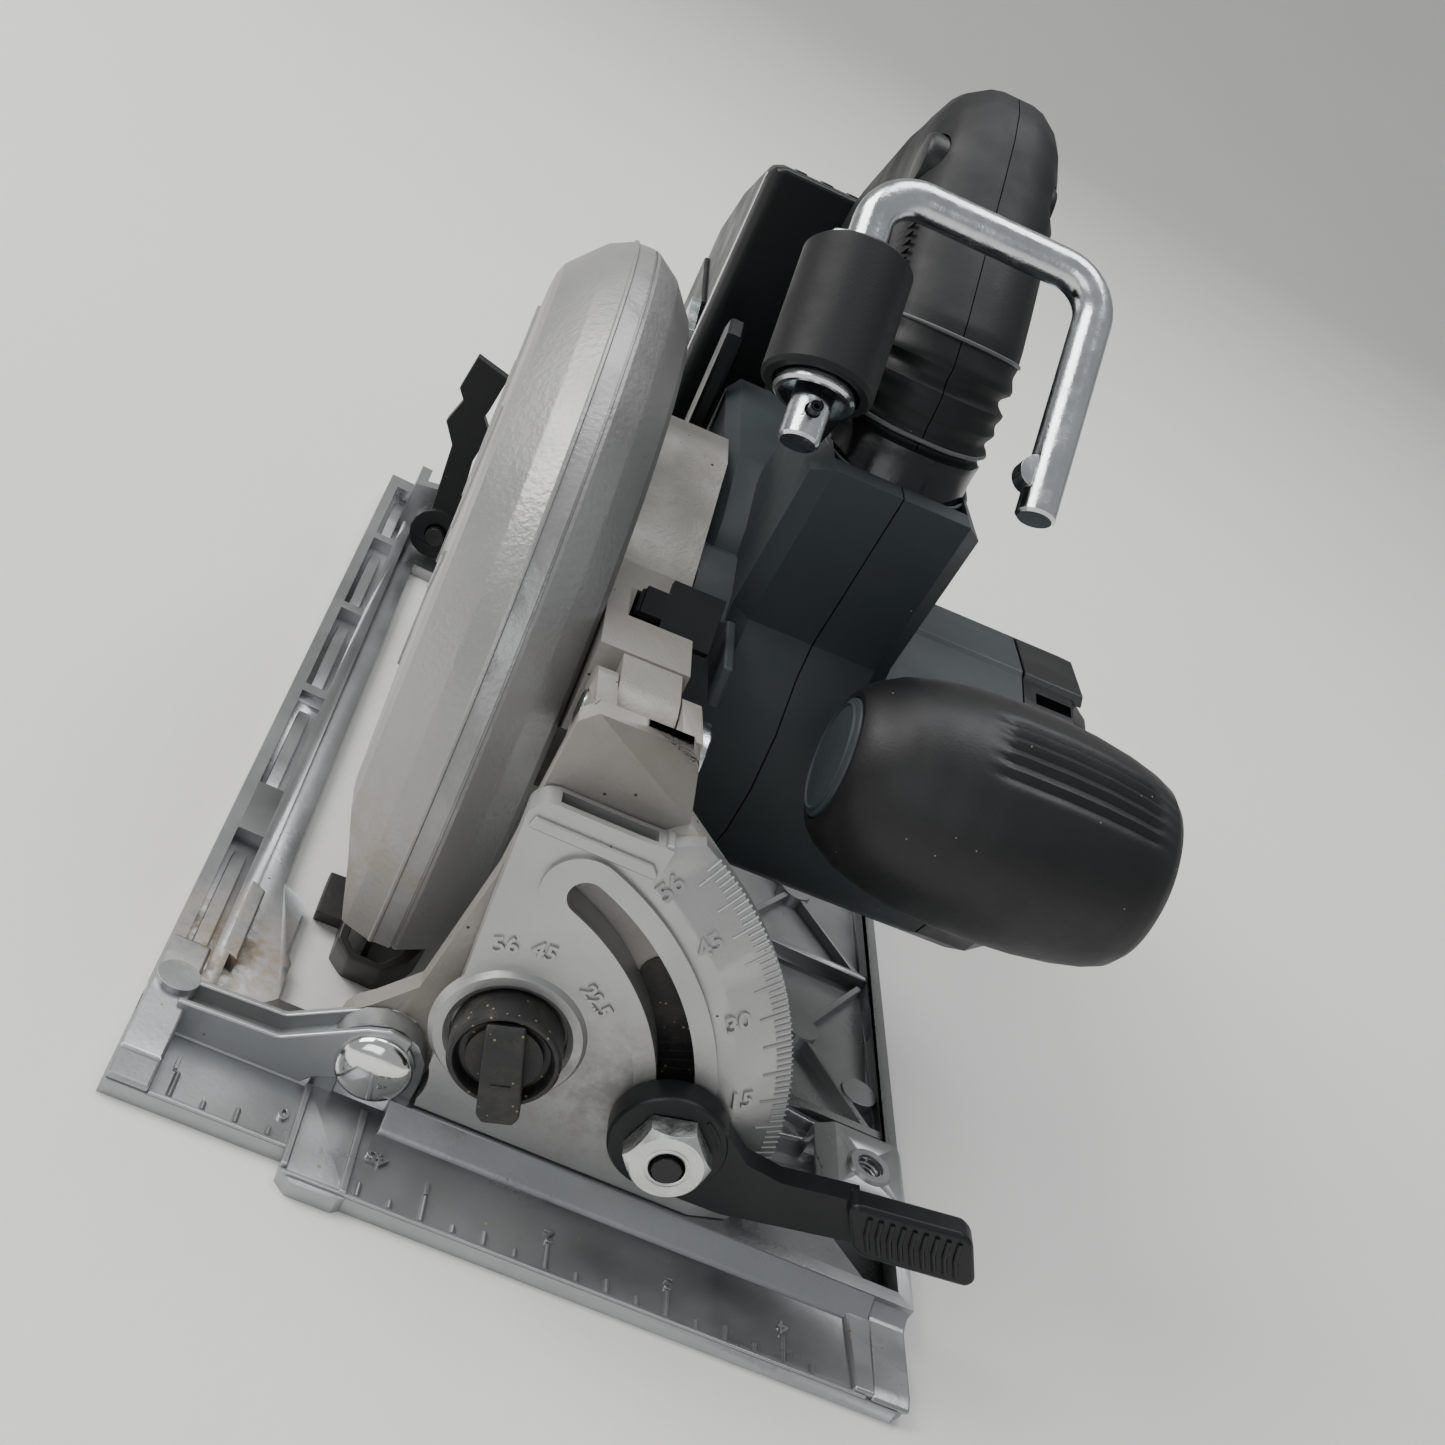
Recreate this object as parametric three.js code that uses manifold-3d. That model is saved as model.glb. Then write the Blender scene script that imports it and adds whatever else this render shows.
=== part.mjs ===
// Circular saw, 184 mm blade, battery driven. Millimetres, +Z up.
// Frame: the saw faces -Y, +X is the motor side, the sole of the base is z = 0.
// x = 0 is the cut line at 0 degrees of bevel, y = 0 is the front edge of the left ruler.
// The saw body is drawn upright and then set to its bevel angle about the bevel pivot line.
import * as THREE from 'three';
import { mergeVertices } from 'three/addons/utils/BufferGeometryUtils.js';
import Module from 'manifold-3d';

const wasm = await Module();
wasm.setup();

// ---------------------------------------------------------------- driving dimensions
const BEVEL_SET = 3.5;                       // degrees of bevel that the saw is set to
const PIV_X = 7.6, PIV_Z = 13.8;             // bevel pivot line, parallel to Y
const DEP_Y = 45, DEP_Z = 88;                // depth pivot line, parallel to X
const ARB_Y = 140, ARB_Z = 48;               // arbor
const MOT_Y = 120, MOT_Z = 64;               // motor axis
const BLADE_R = 92, BLADE_T = 1.8, TEETH = 24;
const BASE = { x0: -37.5, x1: 130, y0: 0, y1: 303, slab: 3.5, rib: 8.7 };
const GAP = 0.3;
const HX = 64;                               // centre plane of the main handle
const HOOK = { x: 36, y: 82, z: 166, reach: 48, r: 4, lean: 43.5 };
const AUX = { y: 54, z: 94, x0: 68.3, x1: 138 };
const LOCK_R = 57.8, LOCK_A = 11.5;              // bevel lock bolt: radius and angle about the bevel pivot
const KNOB = { x: 27.2, z: 33 };
const DEPTH_R = 155, DEPTH_A = -14;          // depth lock bolt: radius and angle about the depth pivot

// ---------------------------------------------------------------- solids
const rad = (d) => d * Math.PI / 180;
const FINE = 0.5;                           // facets on round shapes, as a share of the full count
const N = (n) => Math.max(8, 2 * Math.round(n * FINE / 2));
function solid(geo) {
  const g = geo.clone();
  for (const a of ['normal', 'uv']) if (g.attributes[a]) g.deleteAttribute(a);
  const m = mergeVertices(g, 1e-4);
  const p = m.attributes.position.array;
  const idx = [];
  const s = m.index.array;
  for (let i = 0; i < s.length; i += 3) {
    const [a, b, c] = [s[i], s[i + 1], s[i + 2]];
    if (a !== b && b !== c && a !== c) idx.push(a, b, c);
  }
  let vol = 0;
  for (let i = 0; i < idx.length; i += 3) {
    const [a, b, c] = [idx[i] * 3, idx[i + 1] * 3, idx[i + 2] * 3];
    vol += p[a] * (p[b + 1] * p[c + 2] - p[b + 2] * p[c + 1])
         - p[a + 1] * (p[b] * p[c + 2] - p[b + 2] * p[c])
         + p[a + 2] * (p[b] * p[c + 1] - p[b + 1] * p[c]);
  }
  if (vol < 0) for (let i = 0; i < idx.length; i += 3) [idx[i], idx[i + 1]] = [idx[i + 1], idx[i]];
  const mesh = new wasm.Mesh({ numProp: 3, vertProperties: new Float32Array(p), triVerts: new Uint32Array(idx) });
  mesh.merge();
  return new wasm.Manifold(mesh);
}
const M = (a, b, c) => new THREE.Matrix4().makeBasis(a, b, c);
const V = (x, y, z) => new THREE.Vector3(x, y, z);
const shape = (pts) => new THREE.Shape(pts.map(([u, v]) => new THREE.Vector2(u, v)));
function slab(pts, t, bevel = 0, seg = 1) {
  const o = { depth: t - 2 * bevel, bevelEnabled: bevel > 0, bevelThickness: bevel, bevelSize: bevel, bevelOffset: -bevel, bevelSegments: seg, steps: 1 };
  const g = new THREE.ExtrudeGeometry(shape(pts), o);
  if (bevel) g.translate(0, 0, bevel);
  return g;
}
// outline in (y, z), thick along x
const yz = (pts, x0, x1, bevel = 0, seg = 1) => solid(slab(pts, x1 - x0, bevel, seg).applyMatrix4(M(V(0, 1, 0), V(0, 0, 1), V(1, 0, 0))).translate(x0, 0, 0));
// outline in (x, z), thick along y
const xz = (pts, y0, y1, bevel = 0, seg = 1) => solid(slab(pts, y1 - y0, bevel, seg).applyMatrix4(M(V(1, 0, 0), V(0, 0, 1), V(0, -1, 0))).translate(0, y1, 0));
// outline in (x, y), thick along z
const xy = (pts, z0, z1, bevel = 0, seg = 1) => solid(slab(pts, z1 - z0, bevel, seg).translate(0, 0, z0));
const box = (x0, x1, y0, y1, z0, z1) => solid(new THREE.BoxGeometry(x1 - x0, y1 - y0, z1 - z0).translate((x0 + x1) / 2, (y0 + y1) / 2, (z0 + z1) / 2));
const cylX = (r, x0, x1, y, z, n = 32, r2 = r) => solid(new THREE.CylinderGeometry(r2, r, x1 - x0, N(n)).rotateZ(-Math.PI / 2).translate((x0 + x1) / 2, y, z));
const cylY = (r, y0, y1, x, z, n = 32, r2 = r) => solid(new THREE.CylinderGeometry(r2, r, y1 - y0, N(n)).translate(x, (y0 + y1) / 2, z));
const cylZ = (r, z0, z1, x, y, n = 32, r2 = r) => solid(new THREE.CylinderGeometry(r2, r, z1 - z0, N(n)).rotateX(Math.PI / 2).translate(x, y, (z0 + z1) / 2));
// turned about an axis parallel to X: profile of (x, r)
function turnX(prof, y, z, n = 48, a0 = 0, a1 = 360) {
  const pts = prof.map(([x, r]) => new THREE.Vector2(r, x));
  const g = new THREE.LatheGeometry(pts, N(n), rad(a0), rad(a1 - a0));
  return solid(g.rotateZ(-Math.PI / 2).translate(0, y, z));
}
function turnY(prof, x, z, n = 32) {
  const g = new THREE.LatheGeometry(prof.map(([y, r]) => new THREE.Vector2(r, y)), N(n));
  return solid(g.translate(x, 0, z));
}
const ring = (ro, ri, x0, x1, y, z, n = 32) => turnX([[x0, ri], [x0, ro], [x1, ro], [x1, ri], [x0, ri]], y, z, n);
const cut = (a, ...b) => b.reduce((s, t) => s.subtract(t), a);
const join = (a, ...b) => b.reduce((s, t) => s.add(t), a);
const meet = (a, b) => a.intersect(b);
function arc(cx, cy, r, a0, a1, count) {
  const n = count > 8 ? Math.max(7, Math.round(count * 0.65)) : count;
  return Array.from({ length: n + 1 }, (_, i) => {
    const a = rad(a0 + (a1 - a0) * i / n);
    return [cx + r * Math.cos(a), cy + r * Math.sin(a)];
  });
}
const band = (cx, cy, ri, ro, a0, a1, n) => [...arc(cx, cy, ro, a0, a1, n), ...arc(cx, cy, ri, a1, a0, n)];
// slot with round ends along an arc
function arcSlot(cx, cy, r, w, a0, a1, n) {
  const e0 = [cx + r * Math.cos(rad(a0)), cy + r * Math.sin(rad(a0))];
  const e1 = [cx + r * Math.cos(rad(a1)), cy + r * Math.sin(rad(a1))];
  return [...arc(cx, cy, r + w, a0, a1, n), ...arc(e1[0], e1[1], w, a1, a1 + 180, 6).slice(1, -1),
          ...arc(cx, cy, r - w, a1, a0, n), ...arc(e0[0], e0[1], w, a0 + 180, a0 + 360, 6).slice(1, -1)];
}
const hex = (cx, cy, r, a = 0) => arc(cx, cy, r, a, a + 300, 5);

// ---------------------------------------------------------------- scene graph
const saw = new THREE.Group();
const onBase = new THREE.Group();
const tilted = new THREE.Group();
const A = -rad(BEVEL_SET);
tilted.rotation.y = A;
tilted.position.set(
  PIV_X - (Math.cos(A) * PIV_X + Math.sin(A) * PIV_Z), 0,
  PIV_Z - (-Math.sin(A) * PIV_X + Math.cos(A) * PIV_Z));
saw.add(onBase, tilted);

const MAT = {
  cast: [0xa9adb1, 0.42, 0.85], blasted: [0x8f8a7f, 0.62, 0.8], silver: [0x9a9b9b, 0.5, 0.35],
  black: [0x17181a, 0.55, 0.0], rubber: [0x1d1e20, 0.8, 0.0], slate: [0x3d4649, 0.6, 0.0],
  zinc: [0xc9ccd0, 0.25, 1.0], steel: [0x8d9094, 0.35, 1.0], dark: [0x26272a, 0.5, 0.4],
  copper: [0xa8623a, 0.4, 0.7], board: [0x1f5a35, 0.6, 0.1], chrome: [0xe4e6e8, 0.1, 1.0],
};
function add(name, s, mat, group = tilted) {
  const m = s.getMesh();
  const g = new THREE.BufferGeometry();
  g.setAttribute('position', new THREE.BufferAttribute(new Float32Array(m.vertProperties), 3));
  g.setIndex(new THREE.BufferAttribute(new Uint32Array(m.triVerts), 1));
  g.computeVertexNormals();
  const [color, roughness, metalness] = MAT[mat];
  const mesh = new THREE.Mesh(g, new THREE.MeshStandardMaterial({ color, roughness, metalness }));
  mesh.name = name;
  group.add(mesh);
}

// ================================================================ base, fixed
{
  const outline = [[-37.5, 0], [-2, 0], [-2, -5], [0.5, -7.5], [9.5, -7.5], [11, -6.3], [127, -6.3], [130, -3.3], [130, 299.5], [126.5, 303], [-34, 303], [-37.5, 299.5]];
  const open = [[-13, 39], [14, 39], [14, 48], [46, 48], [46, 252], [-20.5, 252], [-20.5, 76], [-14.5, 73], [-14.5, 54], [-13, 51]];
  let b = cut(xy(outline, 0, BASE.slab), xy(open, -1, 12));
  const H = BASE.rib;
  // upstanding ribs and rails
  b = join(b,
    box(-37.5, -25.5, 24, 299.5, 3, 7),
    box(13.5, 90, 17, 24.6, 3, H), box(89, 130, 17, 20.5, 3, H),
    box(-37.5, -2, 20.5, 24.5, 3, 7.5),
    box(126.6, 130, 18, 300, 3, H), box(46, 49, 48, 256, 3, 7),
    box(49, 127, 69, 71.5, 3, 7.5), box(49, 127, 130, 132.5, 3, 7.5), box(49, 127, 190, 192.5, 3, 7.5),
    box(-6, 127, 250.5, 253.5, 3, 7.5), box(-26, 128, 299.6, 303, 3, 7.5),
    box(86, 88.5, 70, 258, 3, 7.5),
    // fence clamp lug at the front right
    xz([[108, 3], [130, 3], [130, 9.5], [128, 11.5], [112, 11.5], [108, 9]], 43, 63),
    // front bevel pivot lug
    xz([[PIV_X + 9.5, 2], ...arc(PIV_X, PIV_Z, 9.5, 0, 180, 10), [PIV_X - 9.5, 2]], 19.5, 24.5),
  );
  b = cut(b,
    cylY(4.4, 15, 30, PIV_X, PIV_Z, 24),
    cylZ(3, -1, 30, 120, 52, 20),                                   // fence clamp screw thread
    box(104, 131, 46, 59, 3.5, 8.3),                               // fence bar slot
    box(-34.5, -28.5, 34, 84, 3.5, 8), box(-34.5, -28.5, 104, 150, 3.5, 8), box(-34.5, -28.5, 154, 200, 3.5, 8),
    box(-34.5, -28.5, 204, 250, 3.5, 8), box(-34.5, -28.5, 254, 292, 3.5, 8),
    cylZ(3.9, -1, 3.2, 34, 21.2, 20), cylZ(2.2, 2, 12, 34, 21.2, 16),
    cylZ(3.9, -1, 3.2, 74, 21.2, 20), cylZ(2.2, 2, 12, 74, 21.2, 16),
  );
  // rear upstand that carries the rear pivot and the rear lock bolt
  b = join(b, cut(xz([[-30, 3], [22, 3], [22, 14], [14, 26], [2, 26], [-10, 24], [-30, 20]], 270, 274.5),
    cylY(4.3, 265, 280, PIV_X, PIV_Z, 24), cylY(3.3, 265, 280, PIV_X - 26, PIV_Z, 20)),
    box(18, 21, 274, 300, 3, 12), box(-30, -26.6, 274, 300, 3, 14));
  add('base_plate', b, 'cast', onBase);
}
{
  // bevel quadrant: upright plate with the lock slot and the angle scale edge
  const out = [[18, 9], [86, 9], ...arc(PIV_X, PIV_Z, 80, -1.5, 64.6, 18), [30, 83.5], [15, 83], [10.5, 80.5], [9, 76]];
  let q = xz(out, 18, 24.5);
  q = join(q, xz(arcSlot(PIV_X, PIV_Z, LOCK_R, 7, 9, 70, 14), 16.8, 18.5), cylY(14.5, 16.8, 18.5, KNOB.x, KNOB.z, 32));
  q = cut(q, xz(arcSlot(PIV_X, PIV_Z, LOCK_R, 3.6, 12, 70.5, 16), 15, 26),
    cylY(11.3, 15, 21.2, KNOB.x, KNOB.z, 32), cylY(5, 15, 26, KNOB.x, KNOB.z, 24),
    box(14, 33, 20, 23, 74, 90),
    cylY(10.6, 15, 26, PIV_X, PIV_Z, 32),
    cylZ(2.1, 5, 19, 34, 21.2, 12), cylZ(2.1, 5, 19, 74, 21.2, 12));
  // chamfer along the scale edge
  const cone = solid(new THREE.LatheGeometry([[17.99, 76.2], [22.4, 80.6], [22.4, 95], [17.99, 95], [17.99, 76.2]].map(([y, r]) => new THREE.Vector2(r, y)), 64, 0, Math.PI * 2).translate(PIV_X, 0, PIV_Z));
  q = cut(q, meet(cone, xz([[PIV_X, PIV_Z + 5], [PIV_X + 160, PIV_Z + 5], [PIV_X + 160, PIV_Z + 160], [PIV_X + 76, PIV_Z + 160]], 17, 23)));
  add('quadrant_plate', q, 'cast', onBase);
}
for (const [n, x] of [['quadrant_screw_a', 34], ['quadrant_screw_b', 74]]) {
  add(n, join(cylZ(3.5, 0.3, 2.9, x, 21.2, 20), cylZ(1.8, 2.5, 18.5, x, 21.2, 12)), 'steel', onBase);
}
add('front_pivot_pin', turnY([[14.6, 0], [14.9, 3.2], [15.8, 5.4], [17.2, 6.8], [19.1, 7.1], [19.1, 3.9], [31.2, 3.9], [31.2, 0]], PIV_X, PIV_Z, 24), 'chrome', onBase);
add('rear_pivot_pin', turnY([[259.5, 0], [259.5, 6.5], [262.4, 7], [262.4, 4], [282, 4], [282, 0]], PIV_X, PIV_Z, 24), 'zinc', onBase);
add('rear_lock_bolt', turnY([[253, 0], [253, 3], [276, 3], [276, 0]], PIV_X - 26, PIV_Z, 20).add(xz(hex(PIV_X - 26, PIV_Z, 6.5), 274.9, 280))
  .add(xz([...arc(PIV_X - 26, PIV_Z, 5.6, 135, 320, 8), [PIV_X - 15.4, PIV_Z + 3.4], [PIV_X - 12.4, PIV_Z + 8.6], [PIV_X - 15.8, PIV_Z + 12.6]], 262.8, 265.5)), 'dark', onBase);
{
  // lever on the rear lock bolt, standing up
  const cx = PIV_X - 26, cz = PIV_Z;
  let l = join(xz(arc(cx, cz, 8, 0, 345, 23), 255.5, 261.5),
    xz([[cx - 4, cz + 4], [cx + 4, cz + 4], [cx + 0.5, cz + 26], [cx + 1.5, cz + 36], [cx - 2, cz + 40], [cx - 1.5, cz + 42.5], [cx - 0.5, cz + 54], [cx - 11, cz + 56], [cx - 12, cz + 45], [cx - 9.5, cz + 42], [cx - 11.5, cz + 34], [cx - 7, cz + 28]], 256.5, 260.5));
  add('rear_lock_lever', cut(l, cylY(3.3, 250, 265, cx, cz, 20)), 'black', onBase);
}
{
  // bevel stop knob: ring with a raised pointer bar, pushed in and turned
  let k = cylY(10.8, 9.8, 17.6, KNOB.x, KNOB.z, 32);
  k = cut(k, cylY(8.6, 8, 12.2, KNOB.x, KNOB.z, 32));
  const turned = (pts, a = rad(20)) => pts.map(([u, v]) => [KNOB.x + u * Math.cos(a) - v * Math.sin(a), KNOB.z + u * Math.sin(a) + v * Math.cos(a)]);
  k = join(k, xz(turned([[-3.8, 9.4], [-4, -10.6], [-2.8, -12], [2.8, -12], [4, -10.6], [3.8, 9.4]]), 6.4, 10.2),
    xz(turned([[-3.8, 9.2], [-3.9, -9.8], [3.9, -9.8], [3.8, 9.2]]), 9, 13));
  k = cut(k, box(KNOB.x - 2.3, KNOB.x + 2.3, 11.4, 20, KNOB.z - 2.3, KNOB.z + 2.3));
  add('bevel_stop_knob', k, 'black', onBase);
  // shaft with its square drive and the stepped stop cam at the back
  let s = join(cylY(4.6, 20.6, 34.5, KNOB.x, KNOB.z, 24), box(KNOB.x - 2, KNOB.x + 2, 14.5, 21.4, KNOB.z - 2, KNOB.z + 2));
  add('bevel_stop_shaft', s, 'steel', onBase);
}

// ================================================================ bevel frame
const LBX = PIV_X + LOCK_R * Math.cos(rad(LOCK_A)), LBZ = PIV_Z + LOCK_R * Math.sin(rad(LOCK_A));
{
  const out = [...arc(PIV_X, PIV_Z, 9.5, 120, 262, 10), [66, 16.5], [72, 20], [76, 32], [76, 48], [71, 58], [63, 68], [55, 76], [42.5, 85], [39, 97], [37, 99], [19, 99], [16, 96], [14.5, 60], [10, 30]];
  let b = xz(out, 25, 30.2);
  const ear = [[29.4, 73], [44, 77], ...arc(DEP_Y, DEP_Z, 9, -60, 90, 8), [29.4, 98.5]];
  b = join(b, yz(ear, 18, 22), yz(ear, 35, 39));
  b = cut(b, cylY(4.3, 20, 36, PIV_X, PIV_Z, 24), cylY(3.3, 20, 36, LBX, LBZ, 20),
    xz(arcSlot(PIV_X, PIV_Z, Math.hypot(KNOB.x - PIV_X, KNOB.z - PIV_Z), 6.4, -19, 48, 12), 20, 36),
    cylX(4.3, 10, 50, DEP_Y, DEP_Z, 24));
  add('front_bevel_bracket', b, 'blasted');
}
add('depth_pivot_pin', join(cylX(4, 17.4, 40, DEP_Y, DEP_Z, 24), cylX(6.5, 39.4, 42.5, DEP_Y, DEP_Z, 24)), 'steel');
add('bevel_lock_bolt', join(cylY(3, 3.6, 36.5, LBX, LBZ, 20), cylY(6.8, 32.4, 36.5, LBX, LBZ, 24)), 'zinc');
add('bevel_lock_nut', cut(xz(hex(LBX, LBZ, 8.6, 12), 4.4, 10.2, 0.5), cylY(3.3, 2, 12, LBX, LBZ, 20)), 'zinc');
{
  let l = join(xz(arc(LBX, LBZ, 11.6, 0, 345, 23), 10.5, 16.3),
    xz([[LBX + 5, LBZ + 9.5], [77, 28], [88, 25.8], [104, 27.6], [107, 18], [92, 15.6], [80, 14], [LBX + 3, LBZ - 10.5]], 10.8, 16),
    xz([[102.6, 28.7], [125, 30.6], [127.6, 29.2], [132.6, 20.4], [131.4, 18.4], [109.4, 17], [106.4, 18.4], [101.4, 26.8]], 8.2, 14.2, 0.8));
  l = cut(l, cylY(3.4, 5, 20, LBX, LBZ, 20));
  add('bevel_lock_lever', l, 'black');
}
{
  // depth guide: slotted arc plate beside the guard, carried back to a foot that turns on the rear pivot
  let g = yz(band(DEP_Y, DEP_Z, DEPTH_R - 8, DEPTH_R + 8, -31, 14, 18), 19, 21.5);
  g = join(g, yz([[172, 13.5], [184, 5], [269.4, 11], [269.4, 24], [200, 24], [184, 34]], 19, 21.5));
  g = cut(g, yz(arcSlot(DEP_Y, DEP_Z, DEPTH_R, 3.4, DEPTH_A - 11, DEPTH_A + 26, 16), 15, 25));
  let foot = xz([...arc(PIV_X, PIV_Z, 9, 200, 350, 8), [21.5, 14], [21.5, 24], [17, 31], ...arc(PIV_X, PIV_Z, 21.5, 84, 150, 10)], 265.8, 269.4);
  foot = cut(foot, cylY(4.3, 260, 275, PIV_X, PIV_Z, 24));
  g = join(g, foot);
  add('depth_guide', g, 'silver');
}

// ================================================================ saw body
const SCREW_R = 30;
const LOCK_Y = DEP_Y + DEPTH_R * Math.cos(rad(DEPTH_A)), LOCK_Z = DEP_Z + DEPTH_R * Math.sin(rad(DEPTH_A));
{
  // upper blade guard
  const outP = [[-15.5, 0], [-15.5, 88], [-13.5, 91], [-7, 97.6], [-1.2, 101], [4, 101], [10, 97], [16, 89.5], [17, 87], [17, 0]];
  const inP = [[-13, -0.01], [-13, 87], [-6, 95], [-1, 98], [4, 98], [9, 94.4], [14.6, 86.5], [14.6, -0.01]].map(([x, r]) => [x, Math.max(r, 0)]);
  let g = cut(turnX(outP, ARB_Y, ARB_Z, 60), turnX(inP, ARB_Y, ARB_Z, 60));
  // keep the upper part
  g = cut(g, yz([[20, 25], [60, 22], [74, 19], [112, 26], [170, 26], [225, 34], [262, 34], [262, -80], [20, -80]], -30, 30));
  // bolt opening in the outer face
  g = cut(g, cylX(27, -20, -10, ARB_Y, ARB_Z, 32), box(-20, -10, ARB_Y - 27, ARB_Y + 27, 0, ARB_Z), cylX(19.5, 10, 20, ARB_Y, ARB_Z, 32));
  // room for the lower guard's lever
  g = cut(g, yz([[60, 10], [60, 24], [100, 29], [116, 29], [116, 10]], -30, -10));
  // clearance facet towards the base rail at full bevel
  g = cut(g, xz([[-30, 70], [-15.5, 50], [-11, 36], [-7, 20], [-7, 12], [-30, 12]], 0, 300));
  for (const a of [100, 215, 325]) g = cut(g, cylX(2.2, 10, 20, ARB_Y + SCREW_R * Math.cos(rad(a)), ARB_Z + SCREW_R * Math.sin(rad(a)), 12));
  add('upper_guard', g, 'silver');
}
for (const [i, a] of [[1, 100], [2, 215], [3, 325]]) {
  const y = ARB_Y + SCREW_R * Math.cos(rad(a)), z = ARB_Z + SCREW_R * Math.sin(rad(a));
  add('guard_screw_' + i, join(cylX(3.6, 12.4, 14.3, y, z, 16), cylX(1.8, 14, 27, y, z, 12)), 'steel');
}
// local frame of the spindle lock: it is pressed in along -n
const SL = { x: 35, y: 80.5, z: 98 };
const place = (g, ang, x, y, z) => g.rotateX(rad(ang)).translate(x, y, z);
{
  const body = [[96, 42], [112, 30], [150, 17.5], [172, 40], [173, 84], [168, 104], [152, 113], [136, 113], [104, 95], [88, 97.5], [56, 97.5], [56, 77], [84, 60]];
  let g = yz(body, 17.4, 36, 0);
  g = join(g, cylX(19, 6.2, 18, ARB_Y, ARB_Z, 40), yz([...arc(DEP_Y, DEP_Z, 9, 90, 280, 10), [62, 77], [62, 97]], 22.4, 34.6),
    yz([[166, 36], [204, 43.5], [204, 57.5], [172, 72]], 22.4, 29.8));
  const cav = [[100, 44], [113, 34], [150, 21.5], [168, 42], [170, 74], [158, 96], [140, 98], [104, 88], [90, 74]];
  g = cut(g, cylX(3.3, 20, 32, LOCK_Y, LOCK_Z, 20), yz(cav, 21, 37), cylX(15.3, 5, 15.6, ARB_Y, ARB_Z, 40), cylX(9, 5, 22, ARB_Y, ARB_Z, 32),
    cylX(4.3, 15, 50, DEP_Y, DEP_Z, 24));
  for (const a of [100, 215, 325]) g = cut(g, cylX(2.1, 10, 28.5, ARB_Y + SCREW_R * Math.cos(rad(a)), ARB_Z + SCREW_R * Math.sin(rad(a)), 12));
  g = cut(g, solid(place(new THREE.BoxGeometry(6.4, 6.4, 46), 45, 26.5, SL.y + 9, SL.z - 9)), solid(place(new THREE.BoxGeometry(23, 17, 9.6), 45, 33.5, SL.y - 0.6, SL.z + 0.6)));
  add('gear_case', g, 'blasted');
  // bearing plate that closes the gear case towards the motor
  const pl = [[101, 45], [114, 35], [149.6, 22.4], [167, 43], [169, 73.5], [157.5, 95], [140, 97], [105, 87], [91.2, 74]];
  let p = cut(yz(pl, 31, 35.7), cylX(9.8, 30, 37, MOT_Y, MOT_Z, 32), cylX(11.8, 30, 37, ARB_Y, ARB_Z, 32));
  add('bearing_plate', p, 'cast');
}
{
  // spindle lock: thumb pad, neck and pin that drops between the gear teeth
  let s = join(solid(place(new THREE.BoxGeometry(11.5, 12.5, 2.6), 45, SL.x, SL.y, SL.z)),
    solid(place(new THREE.BoxGeometry(8, 6, 2.6), 45, SL.x - 6.5, SL.y, SL.z)),
    solid(place(new THREE.BoxGeometry(5.2, 5.2, 42), 45, 26.5, SL.y + 21 * Math.SQRT1_2, SL.z - 21 * Math.SQRT1_2)));
  add('spindle_lock', s, 'black');
}
{
  // motor housing, two clamshell halves that meet on the handle's centre plane
  const barrel = (x0, x1) => cut(cylX(34.6, x0, x1, MOT_Y, MOT_Z, 32), cylX(31.8, x0 - 1, x1 + 1, MOT_Y, MOT_Z, 32));
  const rear = [[117, 90], [128, 103], [150, 112], [205.7, 112], [205.7, 88], [152, 66], [146, 82]];
  const rearIn = [[128, 94], [134, 102], [152, 109], [202.5, 109], [202.5, 91], [156, 72], [148, 86]];
  const neck = [[94, 82], [97, 96], [84.5, 138], [129, 138], [148, 113], [140, 88]];
  const neckIn = [[104, 97], [91, 140], [125, 140], [136, 112], [126, 98]];
  const sides = { L: [36.4, HX - 0.15], R: [HX + 0.15, 92] };
  const whole = (x0, x1, bx1) => {
    let s = join(barrel(x0, bx1), yz(rear, 36.4, 92, 3), yz(neck, 45, 83, 4));
    s = cut(s, yz(rearIn, 39.5, 89), yz(neckIn, 49, 79), cylX(31.8, 39, 200, MOT_Y, MOT_Z, 32));
    return s;
  };
  let L = join(whole(36.4, 200, 118), ring(34.6, 14, 36.4, 39.2, MOT_Y, MOT_Z, 32));
  L = cut(L, cylX(13, 30, 40, ARB_Y, ARB_Z, 24));
  const keep = (a, b) => box(a, b, -50, 350, -60, 300);
  let R = whole(36.4, 200, 117);
  R = meet(R, keep(HX + 0.15, 200));
  L = meet(L, keep(0, HX - 0.15));
  // mounting foot for the front handle on the right half
  R = join(R, cut(box(88, 116, 84, 96, 78, 96), cylX(33, 60, 130, MOT_Y, MOT_Z, 32)));
  add('housing_left', L, 'slate');
  add('housing_right', R, 'slate');
}
{
  // motor end cap with air slots
  let c = turnX([[117.3, 31.8], [117.3, 34.6], [130, 34.6], [135.5, 31], [138, 26], [138, 0], [134.5, 0], [134.5, 25], [132.5, 29], [129, 31.8], [117.3, 31.8]], MOT_Y, MOT_Z, 32);
  c = join(c, ring(14, 11.3, 119, 135, MOT_Y, MOT_Z, 28));
  for (let i = 0; i < 7; i++) {
    const a = rad(i * 51.43 + 9);
    const b = new THREE.BoxGeometry(9, 4, 14).translate(0, 0, 33).rotateX(a).translate(125, MOT_Y, MOT_Z);
    c = cut(c, solid(b));
  }
  add('motor_end_cap', c, 'black');
}
{
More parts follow.
